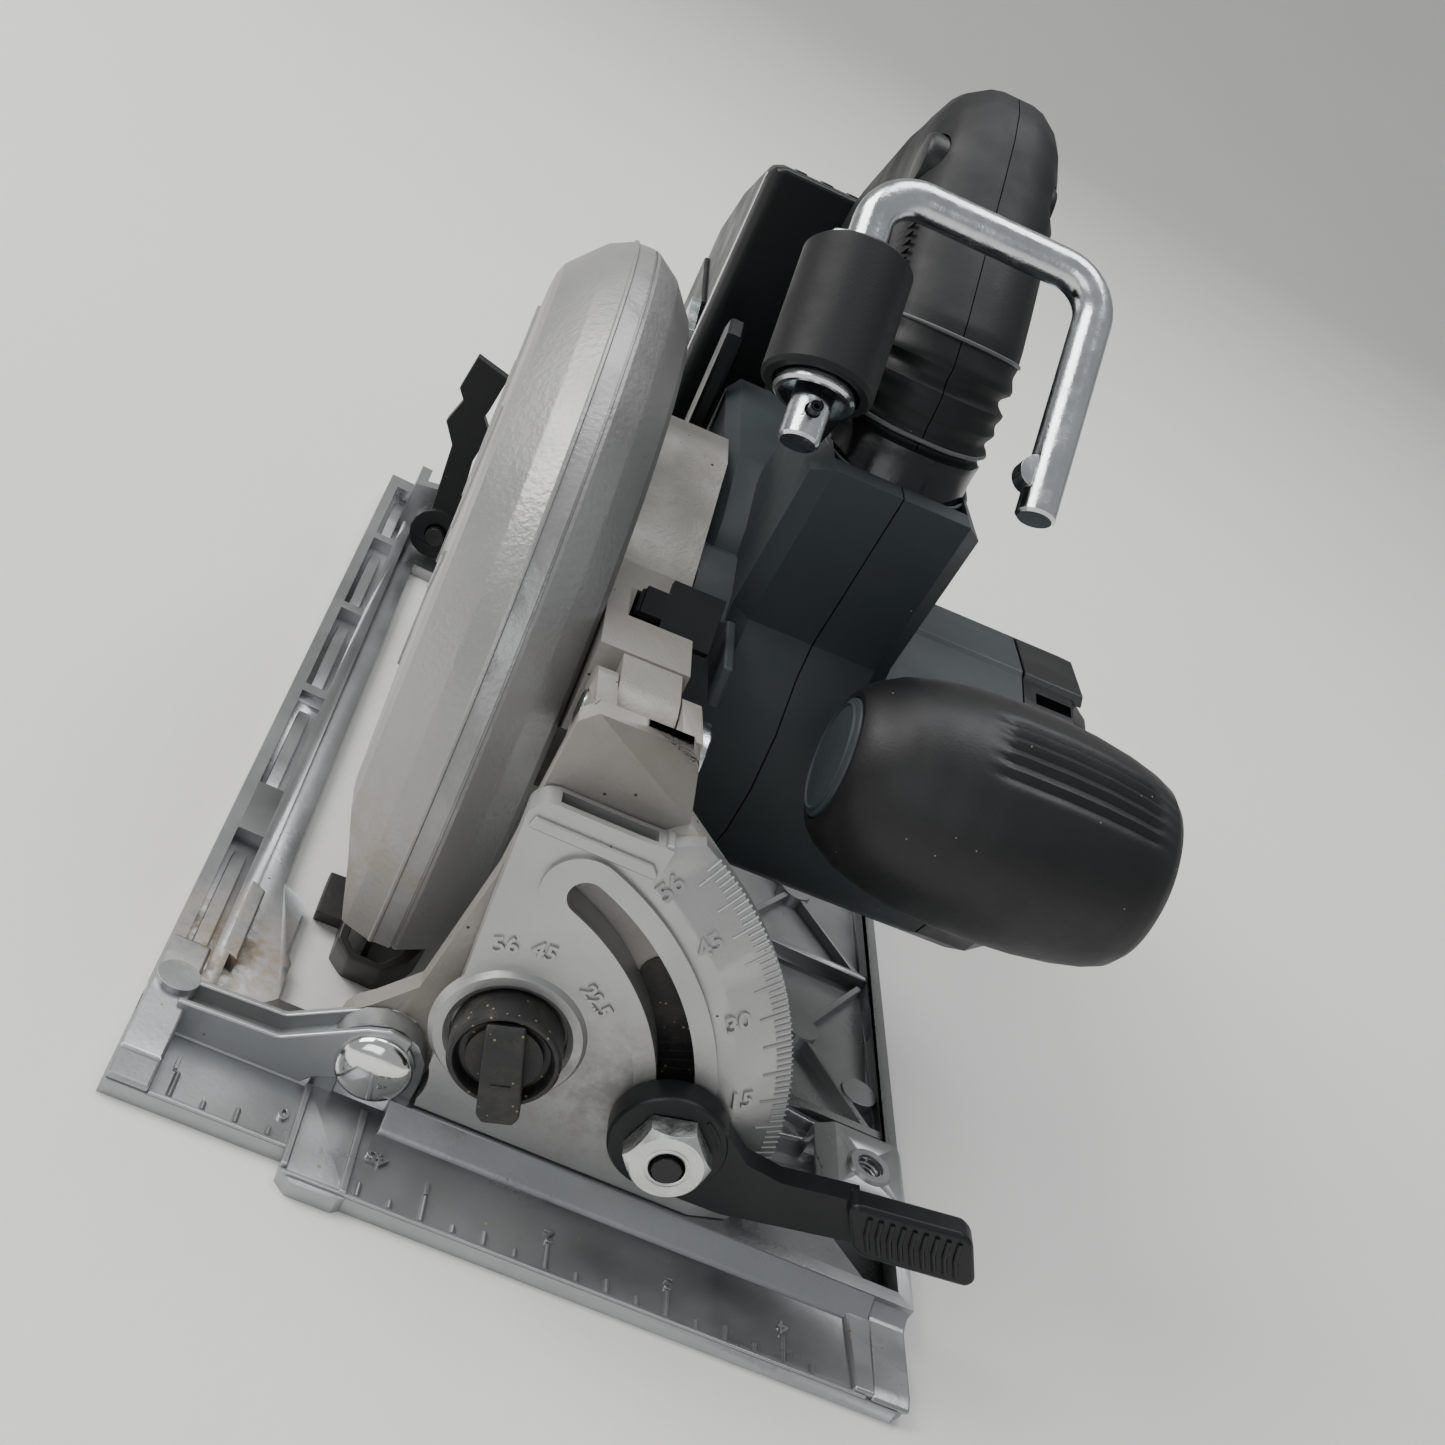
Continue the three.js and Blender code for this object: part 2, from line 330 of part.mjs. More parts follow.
  // main handle, two shells
  const out = [[84.5, 138.4], [98, 160], [118, 183], [134, 198], [146, 205.5], [157, 207.5], [169, 205.5], [181, 199.5], [205, 186], [226.5, 171], [226.5, 90], [206.2, 90], [206.2, 137], [196, 147], [168, 166], [156, 169.5], [145, 164], [134, 150], [128.5, 138.4]];
  const inn = [[91, 138], [103, 158], [122, 179], [138, 194], [148, 200], [157, 201.5], [167, 200], [178.5, 194.5], [203, 181.5], [221.5, 168], [221.5, 112], [211, 112], [211, 140], [199, 151.5], [170, 171], [155, 174.5], [141, 168], [129, 152], [122.5, 138]];
  let h = cut(yz(out, HX - 16.5, HX + 16.5, 8, 3), yz(inn, HX - 12.5, HX + 12.5, 5));
  h = cut(h, box(HX - 11, HX + 11, 92, 122, 136, 142));
  h = cut(h, yz([[162, 180], [160, 156], [202, 130], [207, 150]], HX - 9, HX + 9));      // trigger opening
  h = cut(h, cylX(6.9, HX - 30, HX + 30, 150, 189, 20));                                // lock-off button
  h = cut(h, box(HX - 12, HX + 12, 210, 228, 94, 109));                                  // battery tongue pocket
  add('handle_left', meet(h, box(0, HX - 0.15, 0, 350, 0, 300)), 'rubber');
  add('handle_right', meet(h, box(HX + 0.15, 200, 0, 350, 0, 300)), 'rubber');
}
{
  add('trigger', cut(yz([[165, 168], [163.4, 158], [170, 150.5], [182, 145.5], [193, 140], [198, 141], [200.5, 148], [190, 157], [178, 166], [170, 171.5]], HX - 8.5, HX + 8.5, 1.5)), 'black');
  add('switch_module', yz([[180, 171.5], [183, 190], [203, 177.5], [203, 159.5]], HX - 8, HX + 8), 'black');
  add('lock_off_button', join(cylX(6.4, HX - 19.8, HX - 11, 150, 189, 20), cylX(4, HX - 12, HX + 12, 150, 189, 20), cylX(6.4, HX + 11, HX + 17, 150, 189, 20)), 'black');
  add('controller_board', box(44, 84, 160, 200, 92, 96), 'board');
}
{
  // front handle: arm moulded to the housing, with a soft sleeve over it
  const px0 = 88, px1 = 116;
  let arm = join(cylX(12.4, 67.8, 130, AUX.y, AUX.z, 32), box(px0, px1, AUX.y, 83.7, 80, 95));
  add('front_handle_arm', arm, 'slate');
  const prof = [[68.3, 12.8], [68.3, 14.2], [71, 17], [78, 20.6], [90, 23.4], [102, 24], [114, 23.4], [126, 21.8], [133.5, 19.4], [137, 15.5], [138, 10], [138, 0], [130.4, 0], [130.4, 12.8], [68.3, 12.8]];
  let g = cut(turnX(prof, AUX.y, AUX.z, 36), box(px0 - 0.4, px1 + 0.4, AUX.y, 90, 79.6, 95.4));
  add('front_handle_grip', g, 'rubber');
}
// frame of the hook: a along X, b along the leaning leg, n forwards
const lean = rad(HOOK.lean);
const Lv = V(0, Math.sin(lean), Math.cos(lean));
const hp = (a, b, n = 0) => V(HOOK.x + a, HOOK.y, HOOK.z).addScaledVector(Lv, b).addScaledVector(V(0, -Math.cos(lean), Math.sin(lean)), n);
const inHook = (g) => solid(g.applyMatrix4(M(V(1, 0, 0), Lv, V(0, -Math.cos(lean), Math.sin(lean)))).translate(HOOK.x, HOOK.y, HOOK.z));
const hcyl = (r, b0, b1, n = 28, r2 = r) => inHook(new THREE.CylinderGeometry(r2, r, b1 - b0, N(n)).translate(0, (b0 + b1) / 2, 0));
const hbox = (a0, a1, b0, b1, n0, n1) => inHook(new THREE.BoxGeometry(a1 - a0, b1 - b0, n1 - n0).translate((a0 + a1) / 2, (b0 + b1) / 2, (n0 + n1) / 2));
{
  let b = join(hcyl(11, -15.5, 13, 32), hbox(2, 10, -11, 9, -30, 2));
  b = cut(b, hcyl(4.3, -20, 20, 24), hcyl(8.6, -16, -9.5, 28));
  add('hook_bushing', b, 'black');
  add('hook_washer', cut(hcyl(8, -17.5, -9.9, 28), hcyl(4.3, -20, 0, 24), hcyl(6.6, -20, -11.5, 24)), 'zinc');
  // rod: up through the bushing, across and down
  const pts = [];
  const R = 9, T = 31, W = HOOK.reach;
  pts.push(hp(0, -27), hp(0, -10), hp(0, 8), hp(0, T - R - 2));
  for (let i = 0; i <= 5; i++) { const a = rad(180 - i * 18); pts.push(hp(R + R * Math.cos(a), T - R + R * Math.sin(a))); }
  pts.push(hp(W / 2, T));
  for (let i = 0; i <= 5; i++) { const a = rad(90 - i * 18); pts.push(hp(W - R + R * Math.cos(a), T - R + R * Math.sin(a))); }
  pts.push(hp(W, 2), hp(W, -22));
  const path = new THREE.CatmullRomCurve3(pts, false, 'centripetal');
  const sec = new THREE.Shape(arc(0, 0, HOOK.r, 0, 315, 7).map(([u, v]) => new THREE.Vector2(u, v)));
  let rod = solid(new THREE.ExtrudeGeometry(sec, { steps: 30, bevelEnabled: false, extrudePath: path }));
  rod = join(rod, hbox(-7, 7, 13.4, 18, -1.6, 1.6), inHook(new THREE.CylinderGeometry(3.4, 3.4, 3.4, 16).rotateX(Math.PI / 2).translate(W - 2.6, -13.5, 0)));
  rod = cut(rod, inHook(new THREE.CylinderGeometry(1.6, 1.6, 12, 12).rotateX(Math.PI / 2).translate(0, -21.5, 0)));
  add('rafter_hook', rod, 'zinc');
  add('hook_roll_pin', inHook(new THREE.CylinderGeometry(1.25, 1.25, 12.5, 12).rotateX(Math.PI / 2).translate(0, -21.5, 0)), 'dark');
}
{
  // battery pack
  const out = [[226.9, 86], [226.9, 162], [240, 160], [270, 147], [297, 128], [297, 86]];
  let b = yz(out, 26, 102, 4, 2);
  b = join(b, box(HX - 11.5, HX + 11.5, 214, 232, 95, 108));
  b = cut(b, yz([[231, 90], [231, 157], [240, 155], [268, 143], [293, 125], [293, 90]], 30, 98), box(HX - 8, HX + 8, 213, 235, 98, 105), box(50, 78, 272, 286, 130, 160));
  add('battery_case', b, 'black');
  let cells = null;
  for (let i = 0; i < 3; i++) for (let j = 0; j < 2; j++) {
    const c = cylX(10.4, 31, 97, 243 + i * 19.6, 102 + j * 19.6, 16);
    cells = cells ? cells.add(c) : c;
  }
  add('battery_cells', meet(cells, yz([[231.4, 90.4], [231.4, 156], [240, 154.4], [267.6, 142.4], [292.6, 124.6], [292.6, 90.4]], 30, 98)), 'copper');
  add('battery_latch', yz([[272.8, 134], [272.8, 146.8], [285.4, 138.2], [285.4, 134]], 50.5, 77.5, 1), 'rubber');
}

// ---------------------------------------------------------------- arbor line
{
  let s = turnX([[-2.2, 0], [-2.2, 7.5], [16, 7.5], [16, 6], [35.2, 6], [35.2, 0]], ARB_Y, ARB_Z, 28);
  s = cut(s, cylX(4.3, -4, 12, ARB_Y, ARB_Z, 20));
  add('arbor_shaft', s, 'steel');
  add('inner_flange', ring(20, 7.9, 1.2, 4.4, ARB_Y, ARB_Z, 32), 'steel');
  add('outer_flange', turnX([[-4.4, 7.9], [-4.4, 16], [-3.2, 20], [-1.2, 20], [-1.2, 7.9], [-4.4, 7.9]], ARB_Y, ARB_Z, 32), 'steel');
  add('blade_bolt', join(yz(hex(ARB_Y, ARB_Z, 9.4, 0), -9.6, -5.9, 0.5), cylX(10.4, -6.2, -4.7, ARB_Y, ARB_Z, 28), cylX(4, -5, 10.5, ARB_Y, ARB_Z, 20)), 'zinc');
  add('bearing_arbor_outer', ring(15, 7.8, 6.6, 15.3, ARB_Y, ARB_Z, 32), 'steel');
  add('bearing_arbor_inner', ring(11.5, 6.3, 31.2, 35.2, ARB_Y, ARB_Z, 28), 'steel');
  const gear = (n, ro, rr, cy, cz, ph = 0) => {
    const p = [];
    for (let i = 0; i < n; i++) for (const [f, r] of [[0, rr], [0.22, ro], [0.5, ro], [0.72, rr]]) {
      const a = rad(360 * (i + f) / n + ph);
      p.push([cy + r * Math.cos(a), cz + r * Math.sin(a)]);
    }
    return p;
  };
  add('arbor_gear', cut(yz(gear(41, 20.1, 18.6, ARB_Y, ARB_Z), 22, 30), cylX(6.3, 20, 32, ARB_Y, ARB_Z, 24)), 'steel');
  add('rotor_shaft', join(yz(gear(10, 5.1, 4, MOT_Y, MOT_Z), 22, 30.6), cylX(4, 30, 128, MOT_Y, MOT_Z, 20)), 'steel');
  // toothed blade
  const t = [];
  for (let i = 0; i < TEETH; i++) {
    const a0 = 360 * i / TEETH;
    for (const [da, r] of [[0, BLADE_R], [3, BLADE_R - 1.2], [5.2, BLADE_R - 6], [14.6, BLADE_R - 3]]) {
      const a = rad(a0 + da);
      t.push([ARB_Y + r * Math.cos(a), ARB_Z + r * Math.sin(a)]);
    }
  }
  let bl = cut(yz(t, -BLADE_T / 2, BLADE_T / 2), cylX(7.9, -2, 2, ARB_Y, ARB_Z, 28));
  for (const a of [20, 140, 260]) bl = cut(bl, yz(band(ARB_Y, ARB_Z, 61, 63.2, a, a + 22, 4), -2, 2));
  add('saw_blade', bl, 'steel');
}
// ---------------------------------------------------------------- motor
add('motor_stator', turnX([[47, 18], [47, 28], [51, 28], [51, 31.3], [101, 31.3], [101, 28], [105, 28], [105, 18], [101, 16.2], [51, 16.2], [47, 18]], MOT_Y, MOT_Z, 32), 'copper');
add('motor_rotor', ring(15.4, 4.3, 51, 101, MOT_Y, MOT_Z, 32), 'dark');
{
  let f = join(ring(11, 4.3, 108, 116, MOT_Y, MOT_Z, 24), ring(28, 9, 114.6, 116, MOT_Y, MOT_Z, 28));
  for (let i = 0; i < 7; i++) f = join(f, solid(new THREE.BoxGeometry(7, 1.6, 17).translate(0, 0, 18.5).rotateX(rad(i * 51.43)).translate(111.5, MOT_Y, MOT_Z)));
  add('cooling_fan', f, 'black');
}
add('bearing_motor_front', ring(9.5, 4.3, 31.2, 35.4, MOT_Y, MOT_Z, 24), 'steel');
add('bearing_motor_rear', ring(11, 4.3, 120, 127.5, MOT_Y, MOT_Z, 24), 'steel');
// ---------------------------------------------------------------- lower guard
{
  let g = turnX([[-6.6, 70], [-6.6, 91.4], [-3.2, 95], [4, 95.6], [9, 91.2], [11.6, 86], [11.6, 20], [8.8, 20], [8.8, 84.6], [7, 90], [3.5, 93.8], [-2.4, 93.4], [-4.6, 90.8], [-4.6, 70], [-6.6, 70]], ARB_Y, ARB_Z, 66);
  // sector that stays: from just below the front of the upper guard round to the rear
  const P = (a, r = 130) => [ARB_Y - r * Math.cos(rad(a)), ARB_Z + r * Math.sin(rad(a))];
  g = cut(g, yz([[ARB_Y, ARB_Z], P(-24), P(20), P(60), P(100), P(140), P(168)], -30, 30));
  g = join(g, ring(24, 19.4, 8.8, 13, ARB_Y, ARB_Z, 40));
  // thumb lever at the leading edge
  g = join(g, yz([P(-31, 72), P(-31, 82), P(-38, 82), P(-38, 72)], -12.6, -6.2));
  add('lower_guard', g, 'dark');
}
{
  // return spring: one flat coil shown as an open ring with its two hooked ends
  let s = cut(ring(23.4, 20.2, 13.3, 14.4, ARB_Y, ARB_Z, 36), yz([[ARB_Y, ARB_Z], [ARB_Y + 40, ARB_Z - 6], [ARB_Y + 40, ARB_Z + 10]], 10, 20));
  add('lower_guard_spring', s, 'steel');
}
// ---------------------------------------------------------------- depth lock
add('depth_lock_bolt', join(cylX(3, 17.5, 36, LOCK_Y, LOCK_Z, 20), cylX(6, 17.5, 18.7, LOCK_Y, LOCK_Z, 24)), 'zinc');
add('depth_lock_lever', cut(yz([...arc(LOCK_Y, LOCK_Z, 8.5, 200, 350, 8), [LOCK_Y + 6.5, LOCK_Z + 30], [LOCK_Y + 10, LOCK_Z + 52], [LOCK_Y + 13, LOCK_Z + 72], [LOCK_Y + 8, LOCK_Z + 76], [LOCK_Y + 1, LOCK_Z + 74], [LOCK_Y - 3, LOCK_Z + 52], [LOCK_Y - 5.5, LOCK_Z + 30]], 30.2, 34.4, 0.7), cylX(3.3, 29, 38, LOCK_Y, LOCK_Z, 20)), 'black');
// retaining ring that keeps the lower guard on its hub
add('hub_retaining_ring', ring(22.4, 19.35, 6.5, 8.3, ARB_Y, ARB_Z, 40), 'steel');
export default saw;
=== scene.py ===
import bpy, bmesh, math, random
from mathutils import Matrix, Vector


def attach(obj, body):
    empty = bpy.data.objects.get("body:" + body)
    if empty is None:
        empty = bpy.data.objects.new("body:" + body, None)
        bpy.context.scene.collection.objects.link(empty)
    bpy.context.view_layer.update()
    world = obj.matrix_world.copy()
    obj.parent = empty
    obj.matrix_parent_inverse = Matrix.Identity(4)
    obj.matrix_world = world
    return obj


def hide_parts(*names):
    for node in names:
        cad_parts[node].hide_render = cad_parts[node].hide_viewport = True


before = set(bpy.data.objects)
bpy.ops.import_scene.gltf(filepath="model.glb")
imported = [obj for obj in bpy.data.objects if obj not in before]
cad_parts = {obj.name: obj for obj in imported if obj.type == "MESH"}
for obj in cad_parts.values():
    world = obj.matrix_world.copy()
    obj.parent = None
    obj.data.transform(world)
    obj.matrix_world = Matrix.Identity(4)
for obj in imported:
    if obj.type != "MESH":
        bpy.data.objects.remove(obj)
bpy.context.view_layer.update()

rnd = random.Random(7)
rad = math.radians
TH = rad(3.5)
CO, SI = math.cos(TH), math.sin(TH)
PX, PZ = 7.6, 13.8              # bevel pivot line
DY, DZ = 45.0, 88.0             # depth pivot line
AY, AZ = 140.0, 48.0            # arbor
MY, MZ = 120.0, 64.0            # motor
HX = 64.0
TILT = Matrix(((CO, 0, -SI, PX - CO * PX + SI * PZ), (0, 1, 0, 0), (SI, 0, CO, PZ - SI * PX - CO * PZ), (0, 0, 0, 1)))
MM = Matrix.Scale(0.001, 4)
COL = bpy.context.scene.collection

# ---------------------------------------------------------------- mesh tools (millimetres until placed)
def make(name, verts, faces):
    me = bpy.data.meshes.new(name)
    me.from_pydata([tuple(v) for v in verts], [], faces)
    me.validate()
    bm = bmesh.new(); bm.from_mesh(me)
    bmesh.ops.remove_doubles(bm, verts=bm.verts, dist=1e-5)
    bmesh.ops.recalc_face_normals(bm, faces=bm.faces)
    bm.to_mesh(me); bm.free()
    ob = bpy.data.objects.new(name, me)
    COL.objects.link(ob)
    return ob

def frame3(axis):
    if axis == 'x': return lambda u, v, t: (t, u, v)
    if axis == 'y': return lambda u, v, t: (u, t, v)
    return lambda u, v, t: (u, v, t)

def prism(axis, pts, a, b, name='p'):
    f = frame3(axis); n = len(pts)
    vs = [f(u, v, a) for u, v in pts] + [f(u, v, b) for u, v in pts]
    fs = [tuple(range(n)), tuple(range(2 * n - 1, n - 1, -1))] + [(i, (i + 1) % n, n + (i + 1) % n, n + i) for i in range(n)]
    return make(name, vs, fs)

def boxp(x0, x1, y0, y1, z0, z1, name='p'):
    return prism('z', [(x0, y0), (x1, y0), (x1, y1), (x0, y1)], z0, z1, name)

def arc(cx, cy, r, a0, a1, n):
    return [(cx + r * math.cos(rad(a0 + (a1 - a0) * i / n)), cy + r * math.sin(rad(a0 + (a1 - a0) * i / n))) for i in range(n + 1)]

def disc(cx, cy, r, n=48):
    return arc(cx, cy, r, 0, 360, n)[:-1]

def band(cx, cy, ri, ro, a0, a1, n):
    return arc(cx, cy, ro, a0, a1, n) + arc(cx, cy, ri, a1, a0, n)

def arc_slot(cx, cy, r, w, a0, a1, n=40, m=12):
    e0 = (cx + r * math.cos(rad(a0)), cy + r * math.sin(rad(a0)))
    e1 = (cx + r * math.cos(rad(a1)), cy + r * math.sin(rad(a1)))
    return arc(cx, cy, r + w, a0, a1, n) + arc(e1[0], e1[1], w, a1, a1 + 180, m)[1:-1] + arc(cx, cy, r - w, a1, a0, n) + arc(e0[0], e0[1], w, a0 + 180, a0 + 360, m)[1:-1]

def cyl(axis, r, a, b, u, v, n=48, name='p'):
    return prism(axis, disc(u, v, r, n), a, b, name)

def lathe(axis, prof, u0, v0, n=64, fn=None, name='p'):
    """closed profile of (t, r) turned about an axis; fn(t, r, angle) may change r"""
    f = frame3(axis); vs, fs = [], []
    for i in range(n):
        a = 2 * math.pi * i / n
        for t, r in prof:
            rr = fn(t, r, a) if fn else r
            vs.append(f(u0 + rr * math.cos(a), v0 + rr * math.sin(a), t))
    m = len(prof)
    for i in range(n):
        j = (i + 1) % n
        for k in range(m):
            q = (k + 1) % m
            if prof[k][1] == 0 and prof[q][1] == 0: continue
            fs.append((i * m + k, i * m + q, j * m + q, j * m + k))
    return make(name, vs, fs)

def apply_mods(ob):
    bpy.context.view_layer.update()
    dg = bpy.context.evaluated_depsgraph_get()
    me = bpy.data.meshes.new_from_object(ob.evaluated_get(dg))
    ob.modifiers.clear(); old = ob.data; ob.data = me
    bpy.data.meshes.remove(old)
    return ob

def boole(a, *others, op='DIFFERENCE'):
    for b in others:
        m = a.modifiers.new('b', 'BOOLEAN'); m.operation = op; m.object = b; m.solver = 'EXACT'
        apply_mods(a)
        bpy.data.objects.remove(b)
    return a

def union(a, *others): return boole(a, *others, op='UNION')

def clean(ob, ang=1.2, flat=None):
    bm = bmesh.new(); bm.from_mesh(ob.data)
    bmesh.ops.remove_doubles(bm, verts=bm.verts, dist=2e-4)
    sole = [f for f in bm.faces if flat is not None and all(abs(v.co.z - flat) < 1e-3 for v in f.verts)]
    hold = {e for f in sole for e in f.edges if all(g in sole for g in e.link_faces)}
    es = [e for e in bm.edges if e not in hold]
    bmesh.ops.dissolve_limit(bm, angle_limit=rad(ang), verts=[v for v in bm.verts if not all(e in hold for e in v.link_edges)], edges=es)
    bmesh.ops.triangulate(bm, faces=[f for f in bm.faces if len(f.verts) > 24], ngon_method='EAR_CLIP')
    bmesh.ops.recalc_face_normals(bm, faces=bm.faces)
    bm.to_mesh(ob.data); bm.free()
    return ob

def rounded(ob, w=0.5, seg=3, ang=30, flat=None):
    clean(ob, flat=flat)
    m = ob.modifiers.new('bv', 'BEVEL'); m.width = w; m.segments = seg; m.limit_method = 'ANGLE'; m.angle_limit = rad(ang)
    m.use_clamp_overlap = True; m.miter_outer = 'MITER_ARC'
    return apply_mods(ob)

def smooth(ob, ang=38, weighted=True):
    me = ob.data
    for p in me.polygons: p.use_smooth = True
    me.set_sharp_from_angle(angle=rad(ang))
    if weighted:
        m = ob.modifiers.new('wn', 'WEIGHTED_NORMAL'); m.keep_sharp = True; m.weight = 60
        apply_mods(ob)
    return ob

def joined(name, obs):
    bm = bmesh.new()
    for o in obs:
        o.data.transform(o.matrix_world); bm.from_mesh(o.data); bpy.data.objects.remove(o)
    me = bpy.data.meshes.new(name); bm.to_mesh(me); bm.free()
    ob = bpy.data.objects.new(name, me); COL.objects.link(ob)
    return ob

def place(ob, name, mat, body, nodes=(), tilt=True):
    ob.name = name; ob.data.name = name
    ob.data.transform(MM @ TILT if tilt else MM)
    ob.data.materials.clear(); ob.data.materials.append(mat)
    for p in ob.data.polygons: p.material_index = 0
    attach(ob, body)
    if nodes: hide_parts(*nodes)
    return ob

def cad(node, mm=True):
    """a copy of a CAD node's mesh, in world millimetres"""
    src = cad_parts[node]
    me = src.data.copy(); me.transform(Matrix.Scale(1000, 4))
    ob = bpy.data.objects.new('c_' + node, me); COL.objects.link(ob)
    return ob

def upright(ob):
    """world millimetres to the upright frame of the saw body"""
    ob.data.transform(TILT.inverted()); return ob

def tube(path, r, n=16, closed=False, name='t', ends=True):
    """round rod along points"""
    pts = [Vector(p) for p in path]; vs, fs = [], []
    up = None; k = len(pts)
    for i, p in enumerate(pts):
        if closed: d = (pts[(i + 1) % k] - pts[i - 1])
        else: d = pts[min(i + 1, k - 1)] - pts[max(i - 1, 0)]
        d.normalize()
        if up is None:
            up = d.orthogonal().normalized()
        up = (up - d * up.dot(d)).normalized()
        side = d.cross(up)
        for j in range(n):
            a = 2 * math.pi * j / n
            vs.append(p + (up * math.cos(a) + side * math.sin(a)) * (r[i] if isinstance(r, list) else r))
    rings = k if closed else k - 1
    for i in range(rings):
        q = (i + 1) % k
        for j in range(n):
            l = (j + 1) % n
            fs.append((i * n + j, i * n + l, q * n + l, q * n + j))
    if not closed and ends:
        fs.append(tuple(range(n))); fs.append(tuple(range(k * n - 1, (k - 1) * n - 1, -1)))
    return make(name, vs, fs)

def text(s, size, depth, name='txt', bold=0.0):
    cu = bpy.data.curves.new(name, 'FONT'); cu.body = s; cu.size = size; cu.extrude = depth; cu.align_x = 'CENTER'; cu.align_y = 'CENTER'
    cu.offset = bold; cu.resolution_u = 4; cu.bevel_depth = 0.08; cu.bevel_resolution = 1
    o = bpy.data.objects.new(name, cu); COL.objects.link(o)
    bpy.context.view_layer.update()
    me = bpy.data.meshes.new_from_object(o.evaluated_get(bpy.context.evaluated_depsgraph_get()))
    bpy.data.objects.remove(o)
    ob = bpy.data.objects.new(name, me); COL.objects.link(ob)
    return ob

def basis(ob, right, up, at):
    r = Vector(right).normalized(); u = Vector(up); u = (u - r * u.dot(r)).normalized(); n = r.cross(u)
    m = Matrix(((r.x, u.x, n.x, at[0]), (r.y, u.y, n.y, at[1]), (r.z, u.z, n.z, at[2]), (0, 0, 0, 1)))
    ob.data.transform(m); return ob

# ---------------------------------------------------------------- materials
class NT:
    def __init__(self, name):
        self.m = bpy.data.materials.new(name); self.m.use_nodes = True
        self.t = self.m.node_tree; self.n = self.t.nodes
        self.b = self.n.get('Principled BSDF'); self.x = 0
        tc = self.n.new('ShaderNodeTexCoord'); self.co = tc.outputs['Object']
    def new(self, kind, **k):
        nd = self.n.new(kind)
        for a, v in k.items(): setattr(nd, a, v)
        return nd
    def link(self, a, b): self.t.links.new(a, b)
    def noise(self, scale, detail=3, rough=0.55, co=None):
        nd = self.new('ShaderNodeTexNoise'); nd.inputs['Scale'].default_value = scale
        nd.inputs['Detail'].default_value = detail; nd.inputs['Roughness'].default_value = rough
        self.link(co or self.co, nd.inputs['Vector']); return nd.outputs['Fac']
    def ramp(self, fac, stops, interp='LINEAR'):
        nd = self.new('ShaderNodeValToRGB'); cr = nd.color_ramp; cr.interpolation = interp
        while len(cr.elements) > len(stops): cr.elements.remove(cr.elements[-1])
        while len(cr.elements) < len(stops): cr.elements.new(1)
        for e, (p, c) in zip(cr.elements, stops):
            e.position = p; e.color = (c, c, c, 1) if isinstance(c, (int, float)) else (*c, 1)
        self.link(fac, nd.inputs['Fac']); return nd.outputs['Color']
    def mix(self, fac, a, b):
        nd = self.new('ShaderNodeMix', data_type='RGBA')
        for sock, v in ((nd.inputs['Factor'], fac), (nd.inputs['A'], a), (nd.inputs['B'], b)):
            if hasattr(v, 'links'): self.link(v, sock)
            elif isinstance(v, (int, float)): sock.default_value = v
            else: sock.default_value = (*v, 1)
        return nd.outputs['Result']
    def math(self, op, a, b=0.0, clamp=False):
        nd = self.new('ShaderNodeMath', operation=op); nd.use_clamp = clamp
        for sock, v in ((nd.inputs[0], a), (nd.inputs[1], b)):
            if hasattr(v, 'links'): self.link(v, sock)
            else: sock.default_value = v
        return nd.outputs[0]
    def specks(self, scale, size, cover):
        v = self.new('ShaderNodeTexVoronoi'); v.inputs['Scale'].default_value = scale
        self.link(self.co, v.inputs['Vector'])
        near = self.math('LESS_THAN', v.outputs['Distance'], size)
        sep = self.new('ShaderNodeSeparateColor'); self.link(v.outputs['Color'], sep.inputs[0])
        pick = self.math('GREATER_THAN', sep.outputs[0], 1 - cover)
        return self.math('MULTIPLY', near, pick)

